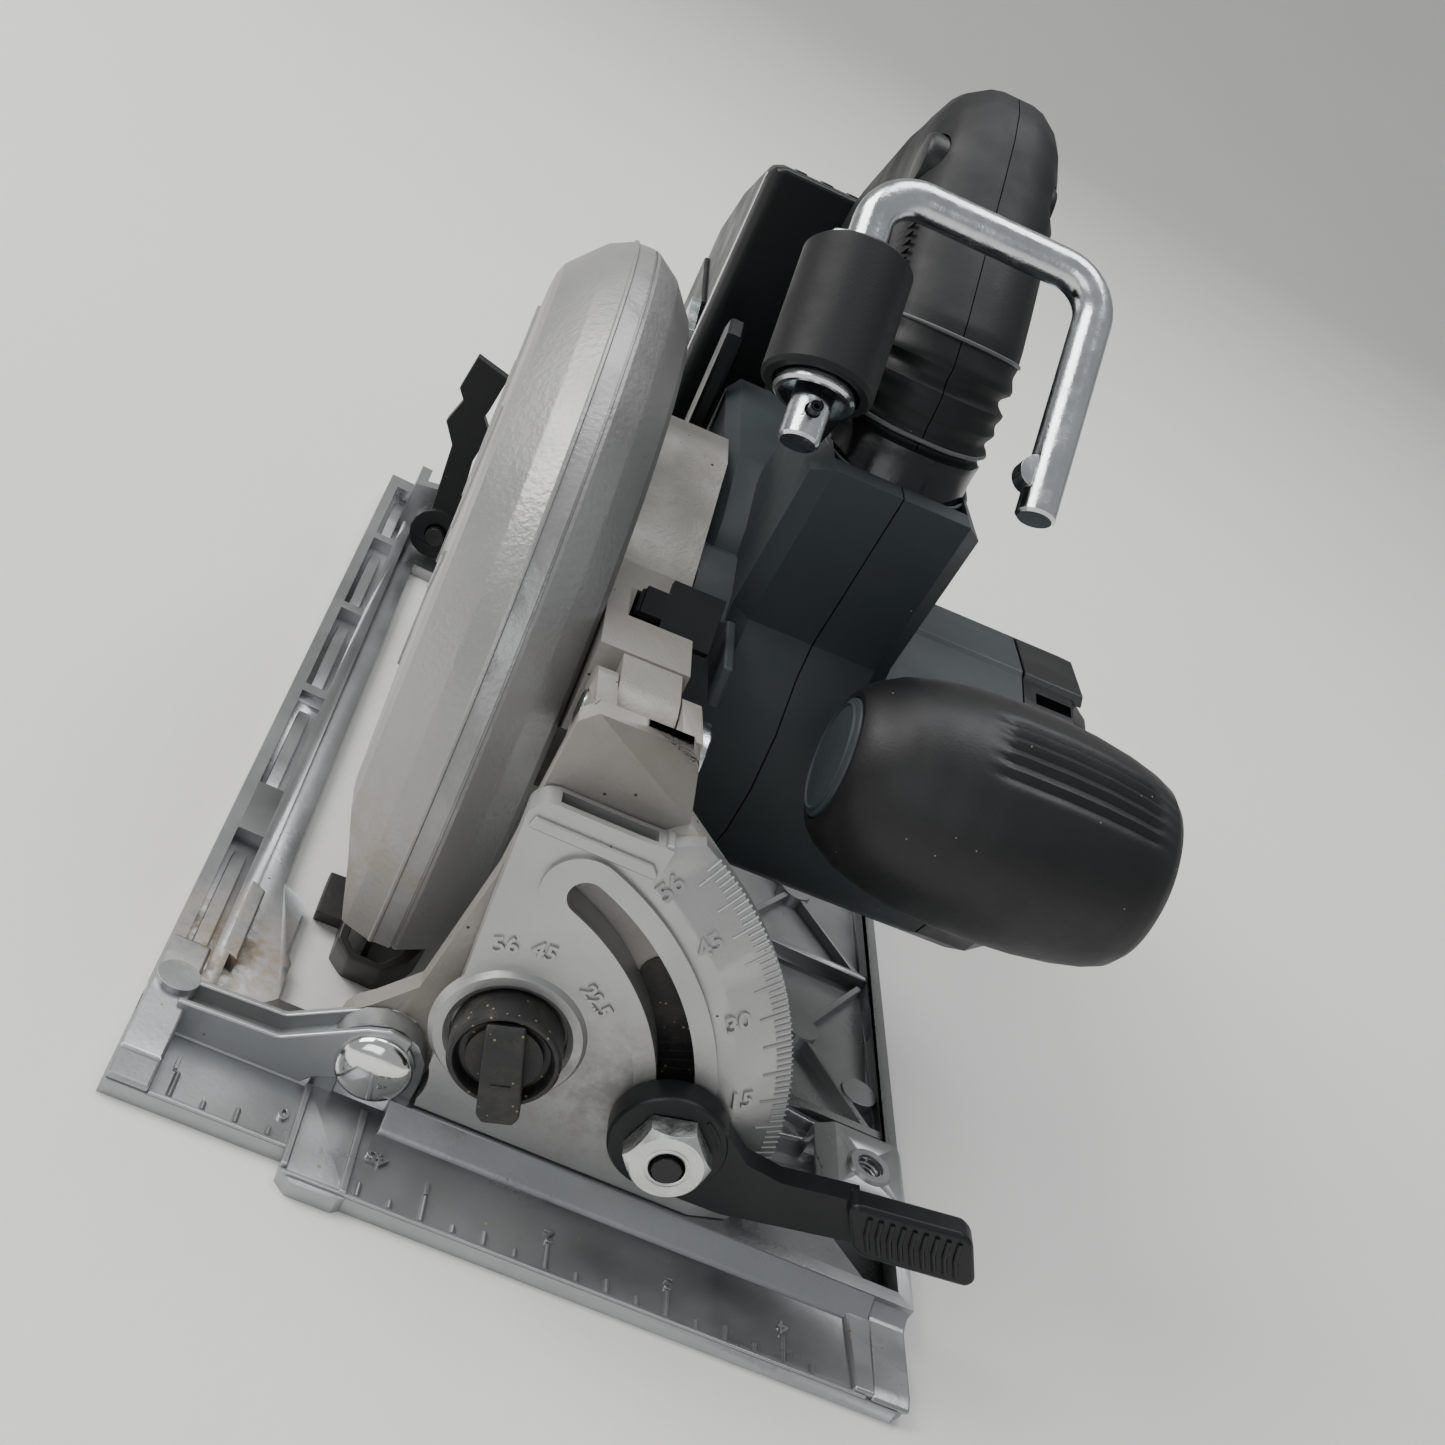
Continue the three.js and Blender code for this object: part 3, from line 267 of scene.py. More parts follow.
def material(name, col, rough, metal=0.0, var=0.08, vs=25, grain=(1200, 0.00004), grain2=None, rv=0.1, dust=None, speck=None, spec=0.5, coat=0.0, scratches=None, sheen=0.0, zone=None):
    k = NT(name); b = k.b
    b.inputs['Metallic'].default_value = metal
    b.inputs['Specular IOR Level'].default_value = spec
    if coat: b.inputs['Coat Weight'].default_value = coat; b.inputs['Coat Roughness'].default_value = 0.25
    if sheen: b.inputs['Sheen Weight'].default_value = sheen
    lo = tuple(c * (1 - var) for c in col); hi = tuple(min(1, c * (1 + var)) for c in col)
    c = k.ramp(k.noise(vs, 4), [(0.3, lo), (0.7, hi)])
    fine = k.noise(grain[0], 2)
    c = k.mix(k.math('MULTIPLY', fine, 0.35), c, tuple(x * 0.8 for x in col))
    r = k.ramp(k.noise(vs * 2.3, 3), [(0.3, max(0.02, rough - rv)), (0.7, min(1, rough + rv))])
    if dust:
        dcol, amount, dscale = dust
        m = k.ramp(k.noise(dscale, 5, 0.65), [(0.56 - amount * 0.3, 0.0), (0.74, min(1, amount * 1.6))])
        c = k.mix(m, c, dcol); r = k.mix(m, r, (0.85, 0.85, 0.85))
    if zone:
        (zx, zy, zz), zr, zcol, zamt = zone
        sub = k.new('ShaderNodeVectorMath', operation='DISTANCE'); k.link(k.co, sub.inputs[0]); sub.inputs[1].default_value = (zx / 1000, zy / 1000, zz / 1000)
        near = k.ramp(k.math('DIVIDE', sub.outputs['Value'], zr / 1000), [(0.25, 1.0), (1.0, 0.0)])
        m = k.math('MULTIPLY', near, k.ramp(k.noise(180, 5, 0.7), [(0.36, 0.0), (0.62, zamt)]))
        c = k.mix(m, c, zcol); r = k.mix(m, r, (0.9, 0.9, 0.9))
    if speck:
        sc, size, cover, scol = speck
        m = k.specks(sc, size, cover)
        c = k.mix(m, c, scol); r = k.mix(m, r, (0.9, 0.9, 0.9))
    if scratches:
        mp = k.new('ShaderNodeMapping'); mp.inputs['Scale'].default_value = scratches[0]; k.link(k.co, mp.inputs['Vector'])
        s = k.noise(1.0, 4, 0.6, mp.outputs['Vector'])
        r = k.math('ADD', r, k.math('MULTIPLY', k.math('SUBTRACT', s, 0.5), scratches[1]), clamp=True)
    k.link(c, b.inputs['Base Color']); k.link(r, b.inputs['Roughness'])
    bp = k.new('ShaderNodeBump'); bp.inputs['Distance'].default_value = grain[1]; bp.inputs['Strength'].default_value = 1.0
    k.link(fine, bp.inputs['Height'])
    out = bp
    if grain2:
        b2 = k.new('ShaderNodeBump'); b2.inputs['Distance'].default_value = grain2[1]; b2.inputs['Strength'].default_value = 1.0
        k.link(k.noise(grain2[0], 3), b2.inputs['Height']); k.link(bp.outputs[0], b2.inputs['Normal']); out = b2
    k.link(out.outputs[0], b.inputs['Normal'])
    return k.m

BEIGE = (0.36, 0.28, 0.18)
M_CAST = material('cast_base', (0.385, 0.395, 0.40), 0.33, 0.85, 0.10, 22, (900, 0.00003), (160, 0.00006), speck=(420, 0.16, 0.035, (0.40, 0.33, 0.22)), zone=((-24, 46, 5), 26, BEIGE, 0.75))
M_QUAD = material('cast_quadrant', (0.46, 0.46, 0.455), 0.42, 0.80, 0.06, 30, (1300, 0.00004), (300, 0.00004), speck=(500, 0.14, 0.02, (0.16, 0.14, 0.11)), zone=((50, 18, 26), 30, (0.22, 0.20, 0.17), 0.45))
M_BLAST = material('blasted', (0.34, 0.325, 0.30), 0.60, 0.60, 0.07, 30, (1500, 0.00010), (500, 0.00008), dust=((0.22, 0.19, 0.145), 0.32, 24), speck=(600, 0.2, 0.04, (0.10, 0.08, 0.06)))
M_GUARD = material('guard_silver', (0.345, 0.343, 0.338), 0.42, 0.55, 0.05, 18, (750, 0.00014), None, zone=((-12, 48, 38), 26, BEIGE, 0.4), speck=(300, 0.05, 0.02, (0.5, 0.48, 0.42)))
M_SLATE = material('slate', (0.040, 0.050, 0.054), 0.52, 0, 0.08, 20, (1500, 0.00004), None, spec=0.38, speck=(500, 0.10, 0.012, (0.30, 0.27, 0.22)))
M_RUBBER = material('soft_grip', (0.0095, 0.0100, 0.0112), 0.52, 0, 0.12, 30, (1800, 0.00003), None, spec=0.28, speck=(700, 0.09, 0.004, (0.25, 0.24, 0.22)))
M_TPE = material('dusty_grip', (0.0085, 0.0085, 0.0095), 0.46, 0, 0.15, 30, (1500, 0.00004), None, spec=0.4, speck=(650, 0.12, 0.03, (0.20, 0.18, 0.14)))
M_BLACK = material('black_plastic', (0.0095, 0.010, 0.0115), 0.40, 0, 0.10, 30, (1400, 0.00003), None, spec=0.32, speck=(700, 0.10, 0.01, (0.22, 0.19, 0.14)))
M_DUSTY = material('dusty_black', (0.017, 0.017, 0.018), 0.45, 0, 0.12, 30, (1400, 0.00004), None, spec=0.45, dust=((0.10, 0.085, 0.06), 0.25, 220), speck=(900, 0.22, 0.10, (0.26, 0.21, 0.13)))
M_GLOSS = material('gloss_black', (0.010, 0.010, 0.012), 0.22, 0, 0.10, 40, (900, 0.00003), (120, 0.0001), spec=0.5)
M_ZINC = material('zinc', (0.62, 0.65, 0.66), 0.20, 1.0, 0.10, 120, (700, 0.00005), (2200, 0.00003), rv=0.10)
M_NUT = material('zinc_dull', (0.66, 0.67, 0.66), 0.34, 1.0, 0.12, 160, (1500, 0.00006), None, rv=0.10, speck=(900, 0.2, 0.03, (0.12, 0.12, 0.12)))
M_CHROME = material('chrome', (0.80, 0.80, 0.78), 0.10, 1.0, 0.05, 60, (600, 0.00002), None, rv=0.05, scratches=((300, 300, 300), 0.10))
M_STEEL = material('ground_steel', (0.42, 0.425, 0.43), 0.30, 1.0, 0.06, 60, (900, 0.00002), None, rv=0.06, scratches=((90, 900, 900), 0.22))
M_BLADE = material('blade', (0.40, 0.41, 0.42), 0.26, 1.0, 0.08, 30, (600, 0.00001), None, rv=0.06, scratches=((30, 1500, 120), 0.2), speck=(260, 0.10, 0.05, (0.30, 0.22, 0.12)))
M_BSTEEL = material('black_steel', (0.030, 0.030, 0.032), 0.34, 0.6, 0.15, 40, (900, 0.00004), None, speck=(800, 0.18, 0.06, (0.30, 0.24, 0.14)))
M_LOWER = material('lower_guard_coat', (0.035, 0.033, 0.030), 0.42, 0.3, 0.15, 22, (900, 0.00003), None, dust=((0.10, 0.085, 0.065), 0.3, 40))
M_COPPER = material('windings', (0.50, 0.20, 0.08), 0.30, 0.8, 0.15, 90, (400, 0.0003), None)
M_LAMS = material('laminations', (0.16, 0.16, 0.165), 0.42, 0.8, 0.10, 60, (1000, 0.00003), None, scratches=((1500, 20, 20), 0.3))
M_BOARD = material('board', (0.015, 0.10, 0.045), 0.35, 0, 0.20, 200, (600, 0.0002), None)
M_CELL = material('cells', (0.03, 0.10, 0.22), 0.35, 0, 0.10, 60, (900, 0.00002), None)
M_PIPE = material('piping_grey', (0.10, 0.105, 0.11), 0.45, 0, 0.08, 60, (1200, 0.00003), None)
M_PAD = material('side_disc', (0.030, 0.038, 0.042), 0.50, 0, 0.08, 60, (1500, 0.00003), None)

def dress(node, mat, body, w=0.4, seg=3, ang=30, sm=40, name=None, extra=()):
    o = cad(node); rounded(o, w, seg, ang)
    for e in extra:
        e.data.transform(TILT if e.get('t') else Matrix.Identity(4))
    if extra: o = joined(node, [o, *extra])
    smooth(o, sm)
    return place(o, name or node + '_skin', mat, body, (node,), tilt=False)

def tagged(o):
    o['t'] = 1; return o

# ================================================================ base
def tick(x, y0, y1, z=3.4, w=0.66, h=1.0):
    n = 7; vs, fs = [], []
    pts = arc(0, 0, w, 0, 180, n)
    for y in (y0, y1):
        for u, v in pts: vs.append((x + u, y, z + v * h / w))
    m = len(pts)
    for i in range(m - 1): fs.append((i, i + 1, m + i + 1, m + i))
    fs.append(tuple(range(m))); fs.append(tuple(range(2 * m - 1, m - 1, -1)))
    # rounded far end
    o = make('tick', vs, fs)
    cap = lathe('z', [(z, 0), (z, w), (z + h * 0.5, w * 0.85), (z + h * 0.9, w * 0.4), (z + h, 0)], x, y1, 16)
    return joined('tick', [o, cap])

parts = []
base = cad('base_plate')
rounded(base, 0.7, 3, 28, flat=0.0)
parts.append(base)
parts += [rounded(prism('x', [(12.8, 3.3), (13.4, 4.9), (17.3, 8.6), (17.6, 3.3)], 13.5, 121, 'lip'), 0.35)]
parts += [rounded(boxp(-1.6, 120, -6.2, -5.2, 3.2, 4.1), 0.25, 2), rounded(prism('z', [(117, -5.6), (121.6, -5.6), (121.6, 17), (115.6, 17)], 3.3, 5.0), 0.6)]
parts += [rounded(prism('x', [(-6.1, 3.2), (-6.1, 4.4), (-3, 5.2), (14, 5.2), (18, 8.2), (18, 3.2)], 121, 129.6), 0.8)]
parts += [rounded(boxp(-29, -2, 0.1, 1.1, 3.2, 4.1), 0.25, 2)]
# left frame of the ruler and rail
parts += [rounded(prism('x', [(0.2, 3.2), (0.4, 4.6), (4, 8.8), (10, 9.4), (30, 10.6), (37, 10.6), (39, 7.4), (39, 3.2)], -37.2, -29), 0.9)]
parts += [rounded(prism('x', [(17.6, 3.2), (18.4, 5.2), (20, 7.6), (20, 3.2)], -29.2, -2, 'lipl'), 0.35)]
# pivot boss face and two ribs with a channel between
rib_out = [(-31, 3.2), (-31, 11.2), (-11.2, 12.1), (3.2, 21.6), (7.6, 23.2), (12, 22.4), (12, 12), (-2, 6), (-4, 3.2)]
for y0, y1 in ((17.9, 19.4), (24.6, 26.2)):
    parts.append(rounded(prism('y', rib_out, y0, y1), 0.45, 3))
web_out = [(-31, 3.2), (-31, 7.4), (-11, 8.4), (2, 17.5), (3, 3.2)]
parts.append(rounded(prism('y', web_out, 19, 25), 0.3, 2))
parts.append(rounded(lathe('z', [(9, 0), (9, 4.2), (11.5, 4.2), (11.5, 0)], -32.6, 24.6, 36), 0.35))
# front ruler ticks and digits
inch = 25.4
for i in range(1, 5):
    x = -6.35 * i
    parts.append(tick(x, 1.0, {0: 7.6, 2: 4.6}.get(i % 4, 3.0)))
for i in range(2, 19):
    x = 6.35 * i
    if x > 114: break
    parts.append(tick(x, -5.3, {0: 1.0, 2: -2.0}.get(i % 4, -3.4)))
def digit(s, x, y, size=4.6, z=3.45, sx=1):
    t = text(s, size, 0.6, 'd', 0.07)
    return basis(t, (-1, 0, 0), (0, -1, 0), (x, y, z + 0.05))
for s, x, y, sz in (('1', -26.2, 10.4, 4.4), ('0', -4.6, 8.3, 4.4), ('45', 14.6, 6.2, 4.6), ('1', 25.4, 3.6, 4.4), ('2', 50.8, 3.6, 4.4), ('3', 76.2, 3.6, 4.4), ('4', 101.6, 3.6, 4.4)):
    parts.append(digit(s, x, y, sz))
# notch tab with its raised edges and sighting lines
parts += [rounded(boxp(-2.4, -0.9, -4.6, 18, 3.2, 4.5), 0.4), rounded(boxp(9.2, 10.9, -6.0, 17, 3.2, 4.5), 0.4)]
# deck to the right: diagonal stiffeners and round ejector marks
def bar(p, q, w, z0, z1):
    d = (Vector(q) - Vector(p)); n = Vector((-d.y, d.x)).normalized() * w / 2; a, b = Vector(p), Vector(q)
    return rounded(prism('z', [tuple(a + n), tuple(a - n), tuple(b - n), tuple(b + n)], z0, z1), 0.35, 2)
for (p, q) in (((88, 71), (125, 128)), ((125, 71), (88, 128)), ((88, 133), (125, 189)), ((125, 133), (88, 189)), ((88, 193), (125, 249)), ((125, 193), (88, 249)),
               ((49, 71), (86, 128)), ((49, 133), (86, 189)), ((49, 193), (86, 249)), ((49, 254), (88, 298)), ((126, 254), (88, 298)), ((88, 71), (126, 64))):
    parts.append(bar(p, q, 1.8, 3.2, 6.4))
for x, y in ((107, 100), (107, 161), (107, 221), (68, 100), (68, 161), (68, 221), (122, 84), (106, 277)):
    parts.append(rounded(cyl('z', 4.6, 3.2, 6.9, x, y, 36), 0.4))
# left rail: floors of the pockets slope and carry a short rib
for y0, y1 in ((34, 84), (104, 150), (154, 200), (204, 250), (254, 292)):
    parts.append(rounded(prism('x', [(y0 + 3, 3.3), (y0 + 14, 5.8), (y1 - 16, 5.8), (y1 - 3, 3.3)], -33.2, -29.9), 0.4))
# cast block at the front left of the blade opening
parts.append(rounded(prism('z', [(-25.5, 42), (-23.6, 41), (-23.6, 66), (-27, 68), (-27, 42)], 3.2, 7.2), 0.5))
parts.append(rounded(cyl('z', 5.6, 3.2, 4.2, 120, 52, 40), 0.3) if False else rounded(lathe('z', [(11.3, 3.0), (12.3, 3.2), (12.3, 4.9), (11.3, 5.6), (9, 5.6), (9, 3.0)], 120, 52, 48), 0.2, 2))
for i in range(5):
    parts.append(lathe('z', [(6.2 + i, 2.55), (6.6 + i, 3.05), (5.8 + i, 3.05)], 120, 52, 40))
base_all = joined('base_cast', parts)
smooth(base_all, 40)
place(base_all, 'base_cast', M_CAST, 'root', ('base_plate',), tilt=False)

# ================================================================ bevel quadrant
out = [(18, 9), (86, 9)] + arc(PX, PZ, 80, -1.5, 64.6, 60) + [(30, 83.5), (15, 83), (11.6, 81.6), (10, 79)]
out = [(18, 9), (86, 9)] + arc(PX, PZ, 80, -1.5, 64.6, 60) + [(37, 84), (30, 83.6), (16, 83.2)] + arc(14.6, 78.4, 4.8, 90, 172, 8)
q = prism('y', out, 18, 24.5, 'q')
cone = lathe('y', [(17.5, 68.5), (22.0, 80.6), (22.0, 95), (17.5, 95)], PX, PZ, 220)
keep = prism('y', [(PX + 29, PZ - 12), (PX + 160, PZ - 12), (PX + 160, PZ + 160), (PX + 29, PZ + 160)], 17, 23)
cone = boole(cone, keep, op='INTERSECT')
q = boole(q, cone)
rim = prism('y', arc_slot(PX, PZ, 57.8, 8.0, 7.5, 71.5, 60, 20), 16.9, 18.6)
rim = rounded(rim, 0.7, 3)
q = boole(q, prism('y', arc_slot(PX, PZ, 57.8, 3.7, 11.5, 70.5, 60, 16), 15, 26))
rim = boole(rim, prism('y', arc_slot(PX, PZ, 57.8, 3.7, 11.5, 70.5, 60, 16), 15, 26))
krim = rounded(lathe('y', [(16.8, 12.4), (16.8, 14.2), (18.6, 15.4), (18.6, 11.4), (17.4, 11.4)], 27.2, 33, 80), 0.3, 2, 20)
q = boole(q, cyl('y', 11.3, 15, 21.2, 27.2, 33, 72), cyl('y', 5, 15, 26, 27.2, 33, 48), cyl('y', 10.6, 15, 26, PX, PZ, 64))
q = boole(q, boxp(14.5, 33.5, 19.6, 23.2, 73, 90))
q = rounded(q, 0.5, 3, 28)
qp = [q, rounded(rim, 0.4, 3, 35), krim]
# raised lips round the top pocket and along the left edge
qp.append(rounded(prism('y', [(11.4, 79.6), (34.5, 80.2), (36, 78.6), (36, 77.4), (11, 77)], 17.2, 18.4), 0.4))
qp.append(rounded(boxp(35, 36.6, 18.6, 24.4, 80.5, 84.6), 0.4))
for i in range(0, 57):
    a = rad(i + 5.6)
    r0 = 74.6 if i % 5 == 0 else 77.2
    def at(r): return (PX + r * math.cos(a), 18 + (r - 68.5) * 4.0 / 12.1 * 1.0 - 0.02, PZ + r * math.sin(a))
    def onc(r): return 17.5 + (r - 68.5) * 4.5 / 12.1
    p0, p1 = (PX + r0 * math.cos(a), onc(r0) - 0.1, PZ + r0 * math.sin(a)), (PX + 80.3 * math.cos(a), onc(80.3) - 0.1, PZ + 80.3 * math.sin(a))
    qp.append(tube([p0, p1], 0.26, 6))
for s, th in (('15', 15), ('30', 30), ('45', 45), ('56', 56)):
    a = rad(th + 5.9 + (0.6 if th != 56 else 1.2)); r = 70.6
    rr = Vector((math.cos(a), 0.372, math.sin(a))); uu = Vector((-math.sin(a), 0, math.cos(a)))
    t = text(s, 5.2, 0.4, 'n', 0.07)
    qp.append(basis(t, rr, uu, (PX + r * math.cos(a), 17.5 + (r - 68.5) * 4.5 / 12.1 - 0.05, PZ + r * math.sin(a))))
for s, x, z, ang in (('56', 18.2, 51.6, 25), ('45', 25.2, 53.6, 6), ('22.5', 38.4, 48.0, -34)):
    a = rad(ang)
    t = text(s, 4.9 if s != '22.5' else 4.4, 0.45, 'n', 0.08)
    qp.append(basis(t, (math.cos(a), 0, math.sin(a)), (-math.sin(a), 0, math.cos(a)), (x, 17.95, z)))
quad = joined('quadrant', qp)
smooth(quad, 40)
place(quad, 'quadrant_cast', M_QUAD, 'root', ('quadrant_plate',), tilt=False)

# chrome dome of the front pivot
prof = [(14.4, 0)] + [(14.4 + 3.2 * (1 - math.cos(rad(t))), 7.6 * math.sin(rad(t))) for t in range(12, 91, 13)] + [(19.2, 7.6), (19.2, 3.9), (31.2, 3.9), (31.2, 0)]
dome = lathe('y', prof, PX, PZ, 64)
marks = [tube([(PX + r0 * math.cos(rad(a)), 17.1 - 0.1, PZ + r0 * math.sin(rad(a))), (PX + 7.4 * math.cos(rad(a)), 17.55, PZ + 7.4 * math.sin(rad(a)))], 0.16, 6) for a in range(185, 360, 34) for r0 in (6.2,)]
dome = joined('dome', [dome] + marks)
smooth(dome, 30, False)
place(dome, 'pivot_dome', M_CHROME, 'root', ('front_pivot_pin',), tilt=False)

# ================================================================ bevel stop knob
KX, KZ = 27.2, 33.0
kn = lathe('y', [(9.9, 9.6), (9.9, 10.3), (10.5, 10.8), (17.6, 10.8), (17.6, 0), (13.2, 0), (12.2, 7.4), (12.2, 8.6), (10.5, 9.0)], KX, KZ, 72)
kn = smooth(kn, 35, False)
ca, sa = math.cos(rad(20)), math.sin(rad(20))
def trn(pts): return [(KX + u * ca - v * sa, KZ + u * sa + v * ca) for u, v in pts]
disc_in = rounded(cyl('y', 7.3, 11.0, 13, KX, KZ, 56), 0.4, 2)
bar_k = prism('y', trn([(-3.7, 8.6), (-4.1, -10.2), (-2.9, -12), (2.9, -12), (4.1, -10.2), (3.7, 8.6)]), 6.3, 12.6)
# slope the back of the bar down to the ring
wedge = prism('x', [(0, 0), (1, 0), (0, 1)], 0, 1)
bpy.data.objects.remove(wedge)
cutw = make('w', [(*([KX + u * ca - v * sa, y, KZ + u * sa + v * ca]),) for u, v, y in ((-8, 1, 6.0), (8, 1, 6.0), (8, 12, 6.0), (-8, 12, 6.0), (-8, 12, 10.6), (8, 12, 10.6))], [(0, 1, 2, 3), (3, 2, 5, 4), (0, 4, 5, 1), (0, 3, 4), (1, 5, 2)])
bar_k = boole(bar_k, cutw)
bar_k = rounded(bar_k, 0.55, 3, 25)
ridge = [rounded(prism('y', trn([(-1.9, -2.6), (-1.9, -3.4), (1.9, -3.4), (1.9, -2.6)]), 6.0, 6.5), 0.15, 2)]
# pocket that the square end of the shaft slides in
def pocket(o): return boole(o, cyl('y', 4.4, 11.3, 19, KX, KZ, 32))
knob = joined('knob', [pocket(kn), pocket(disc_in), pocket(bar_k)] + ridge)
smooth(knob, 38)
place(knob, 'stop_knob', M_DUSTY, 'stop_knob', ('bevel_stop_knob',), tilt=False)

# ================================================================ bevel lock lever and nut
LX, LZ = PX + 57.8 * math.cos(rad(11.5)), PZ + 57.8 * math.sin(rad(11.5))
lv = lathe('y', [(10.6, 6.4), (10.4, 8.8), (10.6, 11.2), (11.4, 11.8), (16.2, 11.8), (16.2, 3.4), (12.6, 3.4), (12.6, 6.4)], LX, LZ, 80)
arm = prism('y', [(LX + 4, LZ + 10.4), (74, 32), (80, 27.2), (88, 25.8), (104, 27.8), (108, 18), (92, 15.4), (80, 13.6), (LX + 2, LZ - 11.2)], 11.0, 16.0)
arm = boole(arm, cyl('y', 9.4, 5, 12.4, LX, LZ, 64), cyl('y', 3.5, 5, 20, LX, LZ, 32))
arm = rounded(arm, 0.8, 3)
pad = prism('y', [(102.6, 28.7), (125, 30.6), (127.6, 29.2), (132.6, 20.4), (131.4, 18.4), (109.4, 17), (106.4, 18.4), (101.4, 26.8)], 8.4, 14.2)
pad = rounded(pad, 1.3, 4)
ribs = []
for i in range(9):
    x = 107.2 + i * 2.35; z0, z1 = 18.9 + i * 0.12, 27.4 + i * 0.18
    ribs.append(tube([(x + 2.2, 8.35, z0 + 0.4), (x, 8.1, (z0 + z1) / 2), (x - 1.0, 8.35, z1 - 0.4)], 0.55, 8))
slots = [rounded(prism('y', arc(LX, LZ, 10.2, 20, 62, 8) + arc(LX, LZ, 9.4, 62, 20, 8), 10.2, 11.0), 0.15, 2)]
lever = joined('lever', [smooth(lv, 30, False), arm, pad] + ribs + slots)
smooth(lever, 38)
place(lever, 'bevel_lever', M_BLACK, 'bevel_lever', ('bevel_lock_lever',))
hexp = lambda r, a=0: [(LX + r * math.cos(rad(a + 60 * i)), LZ + r * math.sin(rad(a + 60 * i))) for i in range(6)]
nut = prism('y', hexp(8.6, 12), 4.6, 10.2)
ncone = lathe('y', [(3, 5.6), (6.6, 8.9), (12, 8.9), (12, 0), (3, 0)], LX, LZ, 72)
nut = boole(nut, ncone, op='INTERSECT')
nut = boole(nut, lathe('y', [(3, 4.4), (5.6, 3.3), (12, 3.3), (12, 0), (3, 0)], LX, LZ, 48))
nut = rounded(nut, 0.22, 2, 25)
collar = lathe('y', [(4.45, 3.6), (4.3, 4.0), (4.45, 4.5), (5.2, 4.6), (5.2, 3.3)], LX, LZ, 48)
nut = joined('nut', [nut, collar]); smooth(nut, 35)
place(nut, 'lock_nut', M_NUT, 'bevel_frame', ('bevel_lock_nut',))
dress('bevel_lock_bolt', M_BSTEEL, 'bevel_frame', 0.3)

# ================================================================ brackets and gear case
def xcap(r, x0, x1, y, z, n=32): return rounded(cyl('x', r, x0, x1, y, z, n), 0.3, 2)
dress('front_bevel_bracket', M_BLAST, 'bevel_frame', 0.9, 4)
gears = [tagged(rounded(prism('x', [(96, 44), (110, 33), (112, 35), (99, 46)], 17.2, 36), 0.4))]
dress('gear_case', M_BLAST, 'saw_body', 0.9, 4, extra=gears)
strip_p = [prism('y', arc_slot(PX, PZ, 57.8, 4.6, 12, 41, 30, 8), 24.62, 24.98)]
for i in range(13):
    a = rad(15 + i * 2.1)
    strip_p.append(tube([(PX + 53.6 * math.cos(a), 24.75, PZ + 53.6 * math.sin(a)), (PX + 62 * math.cos(a), 24.75, PZ + 62 * math.sin(a))], 0.16, 6))
stp = joined('strip', strip_p); smooth(stp, 35, False)
place(stp, 'slot_seal', M_DUSTY, 'bevel_frame')
dress('rear_lock_lever', M_BLACK, 'rear_lever', 0.8, 4)
dress('depth_guide', M_ZINC, 'bevel_frame', 0.3, 2)
dress('depth_lock_lever', M_BLACK, 'depth_lever', 0.9, 4)
dress('spindle_lock', M_BLACK, 'spindle_lock', 0.9, 4)
dress('battery_latch', M_RUBBER, 'battery_latch', 0.6, 3)
dress('trigger', M_BLACK, 'trigger', 1.2, 4)
dress('lower_guard', M_LOWER, 'lower_guard', 0.35, 2, 35)
dress('rear_lock_bolt', M_BSTEEL, 'root', 0.4)
dress('depth_pivot_pin', M_ZINC, 'bevel_frame', 0.5)

# ================================================================ upper guard
def gfn(t, r, a):
    if r < 70: return r
    d = math.degrees(a)
    k = max(0.0, 1 - abs(d - 55) / 50.0)
    return r - 3.2 * k * k * (3 - 2 * k)
def gin(t, r, a): return r + (gfn(t, r, a) - r) * 0.36
outP = [(-15.5, 0), (-15.5, 40), (-15.5, 84.5), (-15.2, 87.2), (-14.2, 89.8), (-7.2, 97.4), (-6.6, 97.9), (-1.7, 100.4), (-1.4, 100.95), (-0.9, 100.95), (-0.6, 100.5), (3.0, 100.7), (3.12, 100.0), (3.55, 100.0), (3.67, 100.6), (4.4, 100.4), (9.6, 97.0), (10.3, 96.4), (15.6, 89.9), (16.4, 88.2), (17, 86.2), (17, 40), (17, 0)]
inP = [(14.6, 0), (14.6, 40), (14.6, 86.0), (9, 93.8), (4, 97.4), (-1, 97.4), (-6, 94.4), (-13, 86.5), (-13, 40), (-13, 0)]
g = lathe('x', outP, AY, AZ, 240, gfn)
gi = lathe('x', inP, AY, AZ, 240, gin)
g = boole(g, gi)
g = boole(g, prism('x', [(20, 25), (60, 22), (74, 19), (112, 26), (170, 26), (225, 34), (262, 34), (262, -80), (20, -80)], -30, 30))
g = boole(g, cyl('x', 27, -20, -10, AY, AZ, 72), boxp(-20, -10, AY - 27, AY + 27, 0, AZ), cyl('x', 19.5, 10, 20, AY, AZ, 64))
g = boole(g, prism('x', [(60, 10), (60, 24), (100, 29), (116, 29), (116, 10)], -30, -10))
g = boole(g, prism('y', [(-30, 70), (-15.5, 50), (-11, 36), (-7, 20), (-7, 12), (-30, 12)], 0, 300))
m = g.modifiers.new('bv', 'BEVEL'); m.width = 0.45; m.segments = 2; m.limit_method = 'ANGLE'; m.angle_limit = rad(55); m.use_clamp_overlap = True
clean(g, 0.4); apply_mods(g)
smooth(g, 13, False)
gp = [g]
